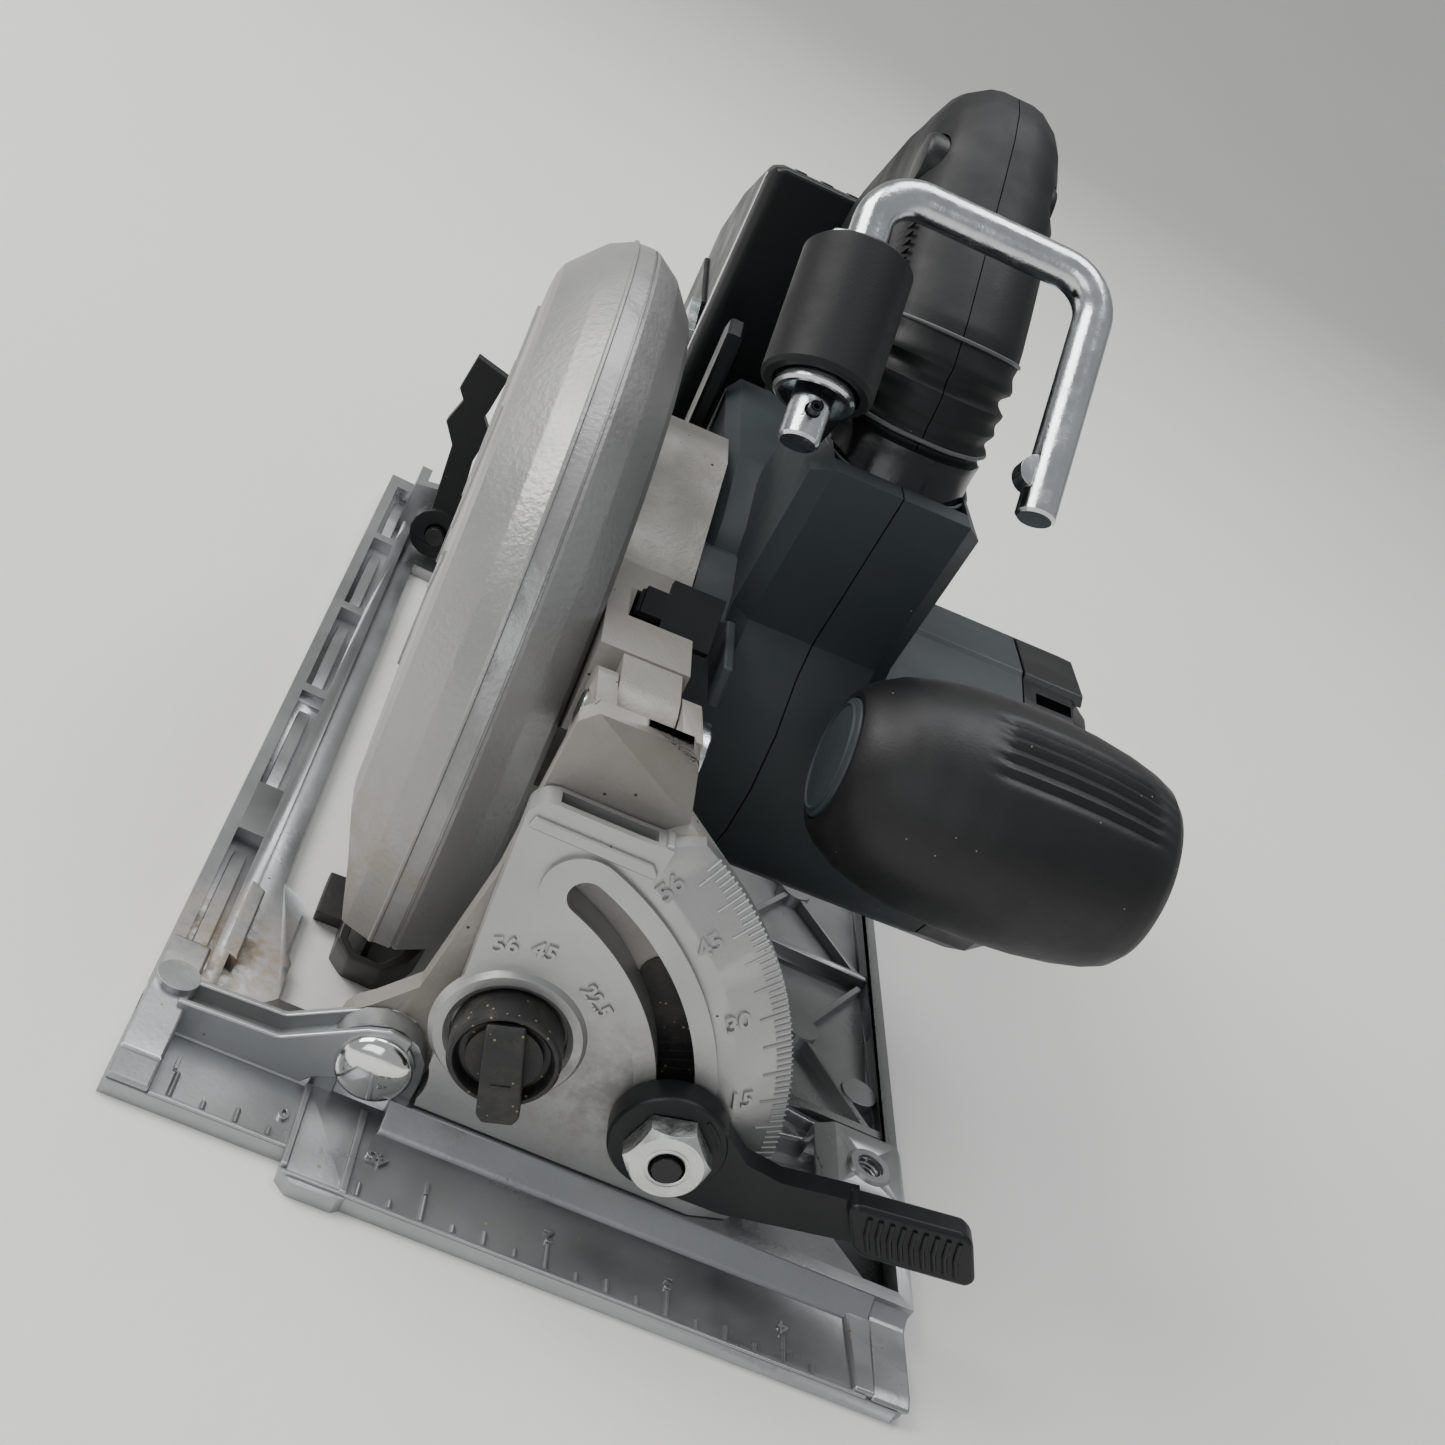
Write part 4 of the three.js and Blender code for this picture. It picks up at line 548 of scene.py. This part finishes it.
# features of the outer side: ring round the bolt opening and four shallow ribs
gp.append(rounded(prism('x', band(AY, AZ, 27.4, 30.5, 0, 180, 48), -16.0, -15.2), 0.35))
for a in (35, 62, 118, 145):
    p = [(AY + 34 * math.cos(rad(a)), AZ + 34 * math.sin(rad(a))), (AY + 78 * math.cos(rad(a)), AZ + 78 * math.sin(rad(a)))]
    gp.append(tube([(-15.4, *p[0]), (-15.4, *p[1])], 0.9, 10))
guard = joined('guard', gp)
smooth(guard, 13, False)
place(guard, 'guard_shell', M_GUARD, 'saw_body', ('upper_guard',))

# ================================================================ motor housing
def housing(node, split):
    o = cad(node); rounded(o, 1.1, 4, 28)
    return o
for node in ('housing_left', 'housing_right'):
    o = housing(node, 0)
    extra = []
    if node == 'housing_left':
        # thin raised plate beside the spindle lock
        extra += [rounded(prism('x', [(70, 86), (96, 86), (100, 92), (92, 96), (72, 95)], 44.0, 46.2), 0.6)]
    else:
        # boxier shoulder of the motor cover
        sh = prism('x', [(118, 60), (118, 96.5), (122, 99.5), (140, 99.5), (150, 96), (155, 88), (156, 66)], 66, 117.2)
        sh = boole(sh, cyl('x', 33.5, 60, 130, MY, MZ, 72))
        extra.append(rounded(sh, 2.0, 4))
    for e in extra: e.data.transform(TILT)
    o = joined(node, [o] + extra); smooth(o, 40)
    place(o, node + '_skin', M_SLATE, 'saw_body', (node,), tilt=False)
cap_extra = []
shc = prism('x', [(118, 60), (118, 96.5), (122, 99.5), (140, 99.5), (150, 96), (155, 88), (156, 66)], 117.6, 133)
shc = boole(shc, cyl('x', 33.5, 100, 140, MY, MZ, 72))
dress('motor_end_cap', M_BLACK, 'saw_body', 0.8, 3, extra=[tagged(rounded(shc, 2.4, 4))])

# ================================================================ main handle
OUT = [(89.8, 130), (91.6, 137.5), (94.4, 144.6), (95.4, 149), (96.6, 156), (100, 163), (107, 170), (116, 177), (128, 186), (139, 194.5), (148, 201), (157, 205.6), (165, 207.4), (173, 205.6), (182, 200.4), (196, 191), (212, 180.5), (222, 174), (226.3, 166), (226.5, 150), (226.5, 130), (226.5, 110), (226.5, 90)]
INN = [(124, 133), (127.5, 138.5), (129.5, 143), (131, 146.5), (133, 149.5), (136, 154), (140, 159.5), (144, 163.2), (148, 166.6), (152, 168.6), (156, 169.5), (160, 169), (164, 167.6), (170, 164.6), (178, 159), (188, 152), (198, 145.5), (204, 140), (206.2, 134), (206.2, 126), (206.2, 114), (206.2, 102), (206.2, 90)]
def lerp(a, b, t): return a + (b - a) * t
def station(t):
    i = min(int(t), len(OUT) - 2); f = t - i
    return [lerp(OUT[i][k], OUT[i + 1][k], f) for k in (0, 1)], [lerp(INN[i][k], INN[i + 1][k], f) for k in (0, 1)]
SEC = [(-0.34, 1.0), (0.34, 1.0), (0.74, 0.80), (0.97, 0.42), (1.0, 0.0), (0.98, -0.45), (0.82, -0.82), (0.42, -1.0), (-0.42, -1.0), (-0.82, -0.82), (-0.98, -0.45), (-1.0, 0.0), (-0.97, 0.42), (-0.74, 0.80)]
def chaikin(p, f=0.16):
    o = []
    for i in range(len(p)):
        a, b = p[i], p[(i + 1) % len(p)]
        o += [(lerp(a[0], b[0], f), lerp(a[1], b[1], f)), (lerp(a[0], b[0], 1 - f), lerp(a[1], b[1], 1 - f))]
    return o
SECF = chaikin(SEC)
def ring_at(t, inset=0.0, w=16.4, waves=0.0):
    O, I = station(t)
    cy, cz = (O[0] + I[0]) / 2, (O[1] + I[1]) / 2
    hy, hz = (O[0] - I[0]) / 2, (O[1] - I[1]) / 2
    h = math.hypot(hy, hz); k = (h - inset) / h; ww = w - inset - waves
    return [(HX + a * ww, cy + b * hy * k, cz + b * hz * k) for a, b in SECF]
def groove(t, c, w, d):
    x = abs(t - c) / w
    return d * (1 - x * x) if x < 1 else 0.0
def inset_at(t):
    return groove(t, 2.3, 0.26, 1.2) + groove(t, 3.2, 0.30, 0.5) + groove(t, 4.5, 0.30, 1.2) + groove(t, 1.1, 1.0, 1.0)
def width_at(t):
    w = 16.4
    if 2.5 < t < 5.5: w += 0.38 * math.sin((t - 2.5) * math.pi * 2 / 0.75)
    if 9 < t < 14: w -= 0.6
    return w
ts = []
t = 0.0
while t < len(OUT) - 1:
    ts.append(t); t += 0.07 if t < 6.2 else (0.25 if t < 15 else 0.5)
ts.append(len(OUT) - 1.0001)
m = len(SECF)
vs, fs = [], []
for t in ts: vs += ring_at(t, inset_at(t), width_at(t))
for i in range(len(ts) - 1):
    for j in range(m):
        l = (j + 1) % m; fs.append((i * m + j, i * m + l, (i + 1) * m + l, (i + 1) * m + j))
fs.append(tuple(range(m))); fs.append(tuple(range(len(vs) - 1, len(vs) - m - 1, -1)))
hnd = make('handle', vs, fs)
hnd = boole(hnd, prism('x', [(160, 183), (157, 154), (203, 126), (210, 151)], HX - 9.6, HX + 9.6), cyl('x', 6.9, HX - 30, HX + 30, 150, 189, 40))
hl = bpy.data.objects.new('hl', hnd.data.copy()); COL.objects.link(hl)
hnd = boole(hnd, boxp(0, HX + 0.12, 0, 350, 0, 300)); hl = boole(hl, boxp(HX - 0.12, 200, 0, 350, 0, 300))
def piping(t, r, x0, x1, inset):
    ring_pts = [Vector(p) for p in ring_at(t, inset)]
    return [p for p in ring_pts if x0 <= p.x <= x1]
for ob, nm, x0, x1, node in ((hl, 'handle_shell_left', 0, HX - 0.12, 'handle_left'), (hnd, 'handle_shell_right', HX + 0.12, 200, 'handle_right')):
    extra = []
    # hatched grip ribs low on the side, seen beside the hook
    sgn = -1 if x0 == 0 else 1
    for i in range(9 if sgn == -1 else 0):
        u = i * 1.9
        extra.append(tube([(HX + sgn * 15.0, 113 + u, 169 + u * 0.75), (HX + sgn * 15.9, 118 + u, 164.5 + u * 0.75), (HX + sgn * 15.9, 124 + u, 160 + u * 0.75)], 0.42, 6))
    o = joined(nm, [ob] + extra)
    smooth(o, 24, False)
    place(o, nm, M_RUBBER, 'saw_body', (node,))
# grey piping lines and the glossy scooped pad at the foot of the column
def loop(t, r, inset, name):
    p = ring_at(t, inset, 16.4)
    n = len(p); front = [q for q in p if True]
    o = tube(p, r, 8, True, name); smooth(o, 60, False); return o
place(joined('piping', [loop(5.62, 0.45, -0.12, 'a'), loop(2.62, 0.5, -0.1, 'b'), loop(0.9, 0.4, -0.25, 'c')]), 'handle_piping', M_PIPE, 'saw_body')
# glossy scooped pad at the foot of the column
pv, pf = [], []
sel = [j for j in range(m) if SECF[j][1] > 0.1]
sel = sorted(sel, key=lambda j: SECF[j][0])
tp = [0.12 + 0.12 * i for i in range(17)]
for t in tp:
    rg = ring_at(t, inset_at(t) - 0.22 * min(1, (t - 0.1) * 6, (2.06 - t) * 12), width_at(t))
    pv += [rg[j] for j in sel]
q_ = len(sel)
pf = [(i * q_ + j, i * q_ + j + 1, (i + 1) * q_ + j + 1, (i + 1) * q_ + j) for i in range(len(tp) - 1) for j in range(q_ - 1)]
padm = make('pad', pv, pf)
sd = padm.modifiers.new('s', 'SOLIDIFY'); sd.thickness = 0.5; sd.offset = 0; apply_mods(padm)
smooth(padm, 35, False)
place(padm, 'handle_foot_pad', M_GLOSS, 'saw_body')
# lock-off button
lb = []
for sgn, x1 in ((-1, HX - 17.0), (1, HX + 14.4)):
    b0 = lathe('x', [(HX + sgn * 11, 0), (HX + sgn * 11, 6.5), (x1 - sgn * 1.4, 6.5), (x1 - sgn * 0.4, 5.8), (x1, 4.2), (x1, 0)], 150, 189, 48); lb.append(b0)
lb.append(cyl('x', 4, HX - 12, HX + 12, 150, 189, 24))
lbo = joined('lockoff', lb); smooth(lbo, 40, False)
place(lbo, 'lock_off_cap', M_BLACK, 'lock_off', ('lock_off_button',))

# ================================================================ front handle
prof = [(68.3, 12.8), (68.3, 14.0), (69.2, 15.4), (71.5, 17.4), (76, 20.0), (82, 22.0), (90, 23.4), (98, 24.0), (108, 24.0), (116, 23.5), (124, 22.4), (130, 21.0), (133.6, 19.6), (135.8, 17.6), (137.2, 14.8), (138, 10.5), (138, 0), (130.4, 0), (130.4, 12.8)]
def gripfn(t, r, a):
    if r < 14 or t < 74 or t > 134: return r
    d = math.degrees(a) % 360           # 0 is +Y, 90 is up, 180 is the front
    cut = 0.0
    for c in (100, 108, 116, 124, 132):
        x = abs(d - c) / 2.6
        if x < 1:
            e = min(1.0, max(0.0, (t - 92) / 3.0), max(0.0, (131 - t) / 3.0)) if t > 92 else 0.0
            cut = max(cut, 0.8 * (1 - x * x) * e)
    return r - cut
def fine_profile(p, step=2.0):
    o = []
    for i in range(len(p)):
        a, b = p[i], p[(i + 1) % len(p)]
        n = max(1, int(abs(b[0] - a[0]) / step)) if a[1] > 13 and b[1] > 13 else 1
        for k in range(n): o.append((lerp(a[0], b[0], k / n), lerp(a[1], b[1], k / n)))
    return o
gr = lathe('x', fine_profile(prof), 54, 94, 180, gripfn)
gr = boole(gr, boxp(87.6, 116.4, 54, 90, 79.6, 95.4))
smooth(gr, 32, False)
place(gr, 'front_grip', M_TPE, 'saw_body', ('front_handle_grip',))
armc = lathe('x', [(67.4, 0), (67.4, 11.4), (67.9, 12.4), (69, 12.7), (129, 12.7), (129, 0)], 54, 94, 64)
armb = rounded(boxp(88, 116, 54, 83.7, 80, 95), 1.6, 4)
rim_d = lathe('x', [(67.3, 10.6), (67.0, 11.0), (67.3, 11.4), (67.8, 11.4), (67.8, 10.6)], 54, 94, 64)
ar = joined('arm', [armc, armb, rim_d]); smooth(ar, 35, False)
place(ar, 'front_arm', M_SLATE, 'saw_body', ('front_handle_arm',))

# ================================================================ rafter hook
HK = dict(x=36, y=82, z=166, reach=48, r=4, lean=43.5)
ln = rad(HK['lean']); Lv = Vector((0, math.sin(ln), math.cos(ln))); Nv = Vector((0, -math.cos(ln), math.sin(ln)))
def hp(a, b, n=0.0): return Vector((HK['x'] + a, HK['y'], HK['z'])) + Lv * b + Nv * n
HM = Matrix(((1, Lv.x, Nv.x, HK['x']), (0, Lv.y, Nv.y, HK['y']), (0, Lv.z, Nv.z, HK['z']), (0, 0, 0, 1)))
def inhook(o): o.data.transform(HM); return o
R_, T_, W_ = 9.0, 31.0, 48.0
pts = [hp(0, b) for b in (-27, -26.4, -20, -10, 0, 10, 18)] + [hp(R_ - R_ * math.cos(rad(i * 9)), T_ - R_ + R_ * math.sin(rad(i * 9))) for i in range(11)] + [hp(a, T_) for a in (14, 20, 26, 32, 36)] + [hp(W_ - R_ + R_ * math.sin(rad(i * 9)), T_ - R_ + R_ * math.cos(rad(i * 9))) for i in range(11)] + [hp(W_, b) for b in (16, 8, 0, -8, -16, -21.4, -22)]
rs = [4.0] * len(pts); rs[0] = 3.5; rs[-1] = 3.4
rod = tube(pts, rs, 36)
rod = boole(rod, inhook(cyl('z', 1.6, -8, 8, 0, -21.5, 24)))
wings = inhook(rounded(prism('z', [(-7, 13.4), (-7.2, 17), (-4.4, 18), (4.4, 18), (7.2, 17), (7, 13.4)], -1.7, 1.7), 0.9, 3))
nub = inhook(rounded(lathe('z', [(-2.2, 0), (-2.2, 3.4), (2.2, 3.4), (2.2, 0)], W_ - 2.8, -13.5, 32), 1.2, 4))
hk = joined('hook', [rod, wings, nub]); smooth(hk, 34, False)
place(hk, 'hook_rod', M_ZINC, 'hook', ('rafter_hook',))
bush = inhook(lathe('y', [(-15.5, 8.6), (-15.5, 10.2), (-14.7, 11), (12.2, 11), (13, 10.2), (13, 4.3), (-9.6, 4.3), (-9.6, 8.6)], 0, 0, 72))
blk = inhook(rounded(boxp(1, 9, -12, 9.5, -14, 0), 1.2, 3)); blk2 = inhook(rounded(boxp(2, 10, -11, 9, -30, -12), 1.0, 3))
bu = joined('bush', [bush, blk, blk2]); smooth(bu, 35, False)
place(bu, 'hook_bush', M_RUBBER, 'saw_body', ('hook_bushing',))
# coiled roll pin through the rod's end
spiral = []
for i in range(60):
    a = i / 59 * 4.4 * math.pi; r = 0.35 + 0.9 * i / 59
    spiral.append((r * math.cos(a), r * math.sin(a)))
th_ = 0.12
poly = spiral + [(x * (1 + 0.22 / max(0.4, math.hypot(x, y))), y * (1 + 0.22 / max(0.4, math.hypot(x, y)))) for x, y in reversed(spiral)]
rp = inhook(prism('z', [(x, y - 21.5) for x, y in poly], -6.2, 6.2)); smooth(rp, 50, False)
place(rp, 'roll_pin_coil', M_BSTEEL, 'hook', ('hook_roll_pin',))
ws = inhook(lathe('y', [(-17.5, 6.6), (-17.5, 7.4), (-17.0, 8.0), (-9.9, 8.0), (-9.9, 4.3), (-11.5, 4.3), (-11.5, 6.6)], 0, 0, 56)); smooth(ws, 35, False)
place(ws, 'hook_cup', M_ZINC, 'hook', ('hook_washer',))

# ================================================================ battery
bo = cad('battery_case'); rounded(bo, 1.6, 4, 28); upright(bo)
be = []
for i in range(9):
    x = 33 + i * 7.6
    be.append(rounded(prism('x', [(233, 161.5), (240.2, 160.3), (268.6, 147.9), (271.6, 145.8), (271.6, 143), (233, 157)], x, x + 3.2), 0.5) if i not in (2, 3, 4, 5) else rounded(prism('x', [(233, 161.5), (240.2, 160.3), (262, 150.8), (262, 147), (233, 157)], x, x + 3.2), 0.5))
be.append(rounded(boxp(24.6, 27, 240, 288, 96, 118), 0.8))
be.append(rounded(boxp(101, 103.4, 240, 288, 96, 118), 0.8))
bt = joined('battery', [bo] + be); smooth(bt, 40)
place(bt, 'battery_shell', M_BLACK, 'battery', ('battery_case',))
strip = tube([(26.6, 232, 158), (26.4, 232, 132), (26.4, 232, 100)], 0.8, 10); smooth(strip, 60, False)
place(strip, 'battery_trim', M_ZINC, 'battery')

# ================================================================ blade
teeth = []
TE, BR = 24, 92.0
for i in range(TE):
    a0 = 360 * i / TE
    pro = [(0, BR), (2.2, BR - 0.9), (3.4, BR - 2.6), (3.9, BR - 5.2), (4.8, BR - 7.4), (6.2, BR - 8.2), (7.8, BR - 7.6), (9.2, BR - 5.2), (11.2, BR - 3.6), (13.6, BR - 2.2), (14.6, BR - 1.0)]
    teeth += [(AY + r * math.cos(rad(a0 + d)), AZ + r * math.sin(rad(a0 + d))) for d, r in pro]
bl = prism('x', teeth, -0.6, 0.6)
bl = boole(bl, cyl('x', 7.9, -2, 2, AY, AZ, 48))
for a in (20, 140, 260):
    bl = boole(bl, prism('x', band(AY, AZ, 61, 62.4, a, a + 22, 16), -2, 2))
for i in range(4):
    a = rad(45 + 90 * i); bl = boole(bl, cyl('x', 3.2, -2, 2, AY + 52 * math.cos(a), AZ + 52 * math.sin(a), 24))
tips = []
for i in range(TE):
    a0 = rad(360 * i / TE)
    ca_, sa_ = math.cos(a0), math.sin(a0)
    q4 = [(BR - 4.2, 0.0), (BR, 0.0), (BR - 0.5, 1.9), (BR - 4.2, 2.1)]
    tips.append(prism('x', [(AY + r * ca_ - s * sa_, AZ + r * sa_ + s * ca_) for r, s in q4], -0.9, 0.9))
bl = joined('blade', [bl] + tips); smooth(bl, 30, False)
place(bl, 'toothed_blade', M_BLADE, 'blade_arbor', ('saw_blade',))
dress('blade_bolt', M_ZINC, 'blade_arbor', 0.4)
dress('outer_flange', M_STEEL, 'blade_arbor', 0.3)

# ---------------------------------------------------------------- nodes that keep their shape
keep_mats = {
    'quadrant_screw_a': M_BSTEEL, 'quadrant_screw_b': M_BSTEEL, 'bevel_stop_shaft': M_STEEL, 'rear_pivot_pin': M_ZINC, 'bearing_plate': M_QUAD,
    'guard_screw_1': M_BSTEEL, 'guard_screw_2': M_BSTEEL, 'guard_screw_3': M_BSTEEL, 'switch_module': M_BLACK, 'controller_board': M_BOARD,
    'motor_stator': M_LAMS, 'bearing_arbor_outer': M_STEEL, 'bearing_arbor_inner': M_STEEL, 'bearing_motor_front': M_STEEL, 'bearing_motor_rear': M_STEEL,
    'depth_lock_bolt': M_ZINC, 'hub_retaining_ring': M_STEEL, 'lower_guard_spring': M_STEEL, 'arbor_shaft': M_STEEL, 'arbor_gear': M_STEEL,
    'inner_flange': M_STEEL, 'rotor_shaft': M_STEEL, 'motor_rotor': M_LAMS, 'cooling_fan': M_BLACK, 'battery_cells': M_CELL,
}
for n, mt in keep_mats.items():
    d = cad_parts[n].data
    d.materials.clear(); d.materials.append(mt)
    d.set_sharp_from_angle(angle=rad(35)) if False else None

# ================================================================ floor, light and camera
k = NT('paper')
k.b.inputs['Specular IOR Level'].default_value = 0.25
c = k.ramp(k.noise(1.6, 4), [(0.3, (0.73, 0.72, 0.70)), (0.7, (0.77, 0.76, 0.74))])
k.link(c, k.b.inputs['Base Color'])
k.link(k.ramp(k.noise(8, 3), [(0.3, 0.55), (0.7, 0.65)]), k.b.inputs['Roughness'])
bp = k.new('ShaderNodeBump'); bp.inputs['Distance'].default_value = 0.0006; bp.inputs['Strength'].default_value = 0.6
k.link(k.noise(90, 4), bp.inputs['Height']); k.link(bp.outputs[0], k.b.inputs['Normal'])
prof = [(-5.0, 0.0), (2.2, 0.0)] + [(2.2 + 1.4 * math.sin(rad(a)), 1.4 - 1.4 * math.cos(rad(a))) for a in range(6, 91, 6)] + [(3.6, 4.5)]
vs = [(-7.0, y, z) for y, z in prof] + [(7.0, y, z) for y, z in prof]
n = len(prof)
me = bpy.data.meshes.new('floor'); me.from_pydata(vs, [], [(i, i + 1, n + i + 1, n + i) for i in range(n - 1)])
for p in me.polygons: p.use_smooth = True
bm = bmesh.new(); bm.from_mesh(me); bmesh.ops.recalc_face_normals(bm, faces=bm.faces)
bm.to_mesh(me); bm.free()
fl = bpy.data.objects.new('floor', me); COL.objects.link(fl); me.materials.append(k.m)

def area(name, loc, target, size, power, col=(1, 1, 1)):
    l = bpy.data.lights.new(name, 'AREA'); l.shape = 'RECTANGLE'; l.size, l.size_y = size; l.energy = power; l.color = col
    o = bpy.data.objects.new(name, l); COL.objects.link(o); o.location = loc
    o.rotation_euler = (Vector(target) - Vector(loc)).to_track_quat('-Z', 'Y').to_euler()
    return o
area('key', (-1.15, 0.35, 1.25), (0.03, 0.13, 0.05), (1.3, 1.0), 27, (1.0, 0.985, 0.96))
area('top', (0.15, 0.7, 1.9), (0.03, 0.15, 0.05), (1.6, 1.2), 26, (0.97, 0.985, 1.0))
area('front', (-0.5, -1.7, 0.9), (0.03, 0.1, 0.06), (1.4, 1.0), 8, (0.95, 0.97, 1.0))
w = bpy.data.worlds.new('w') if not bpy.context.scene.world else bpy.context.scene.world
bpy.context.scene.world = w; w.use_nodes = True
bg = w.node_tree.nodes.get('Background'); bg.inputs[0].default_value = (0.92, 0.94, 0.96, 1); bg.inputs[1].default_value = 0.42

cam = bpy.data.cameras.new('cam'); cam.sensor_width = 36.0; cam.sensor_fit = 'HORIZONTAL'; cam.lens = 1850.88 / 1445 * 36.0
cam.clip_start = 0.01; cam.clip_end = 50
co = bpy.data.objects.new('cam', cam); COL.objects.link(co)
r0 = (0.88659, 0.01356, 0.46244); r1 = (0.41362, -0.47099, -0.77915); r2 = (0.20726, 0.88203, -0.42316)
X = Vector(r0).normalized(); Y = -Vector(r1); Y = (Y - X * Y.dot(X)).normalized(); Z = X.cross(Y)
co.matrix_world = Matrix(((X.x, Y.x, Z.x, -0.0339), (X.y, Y.y, Z.y, -0.2623), (X.z, Y.z, Z.z, 0.2459), (0, 0, 0, 1)))
bpy.context.scene.camera = co
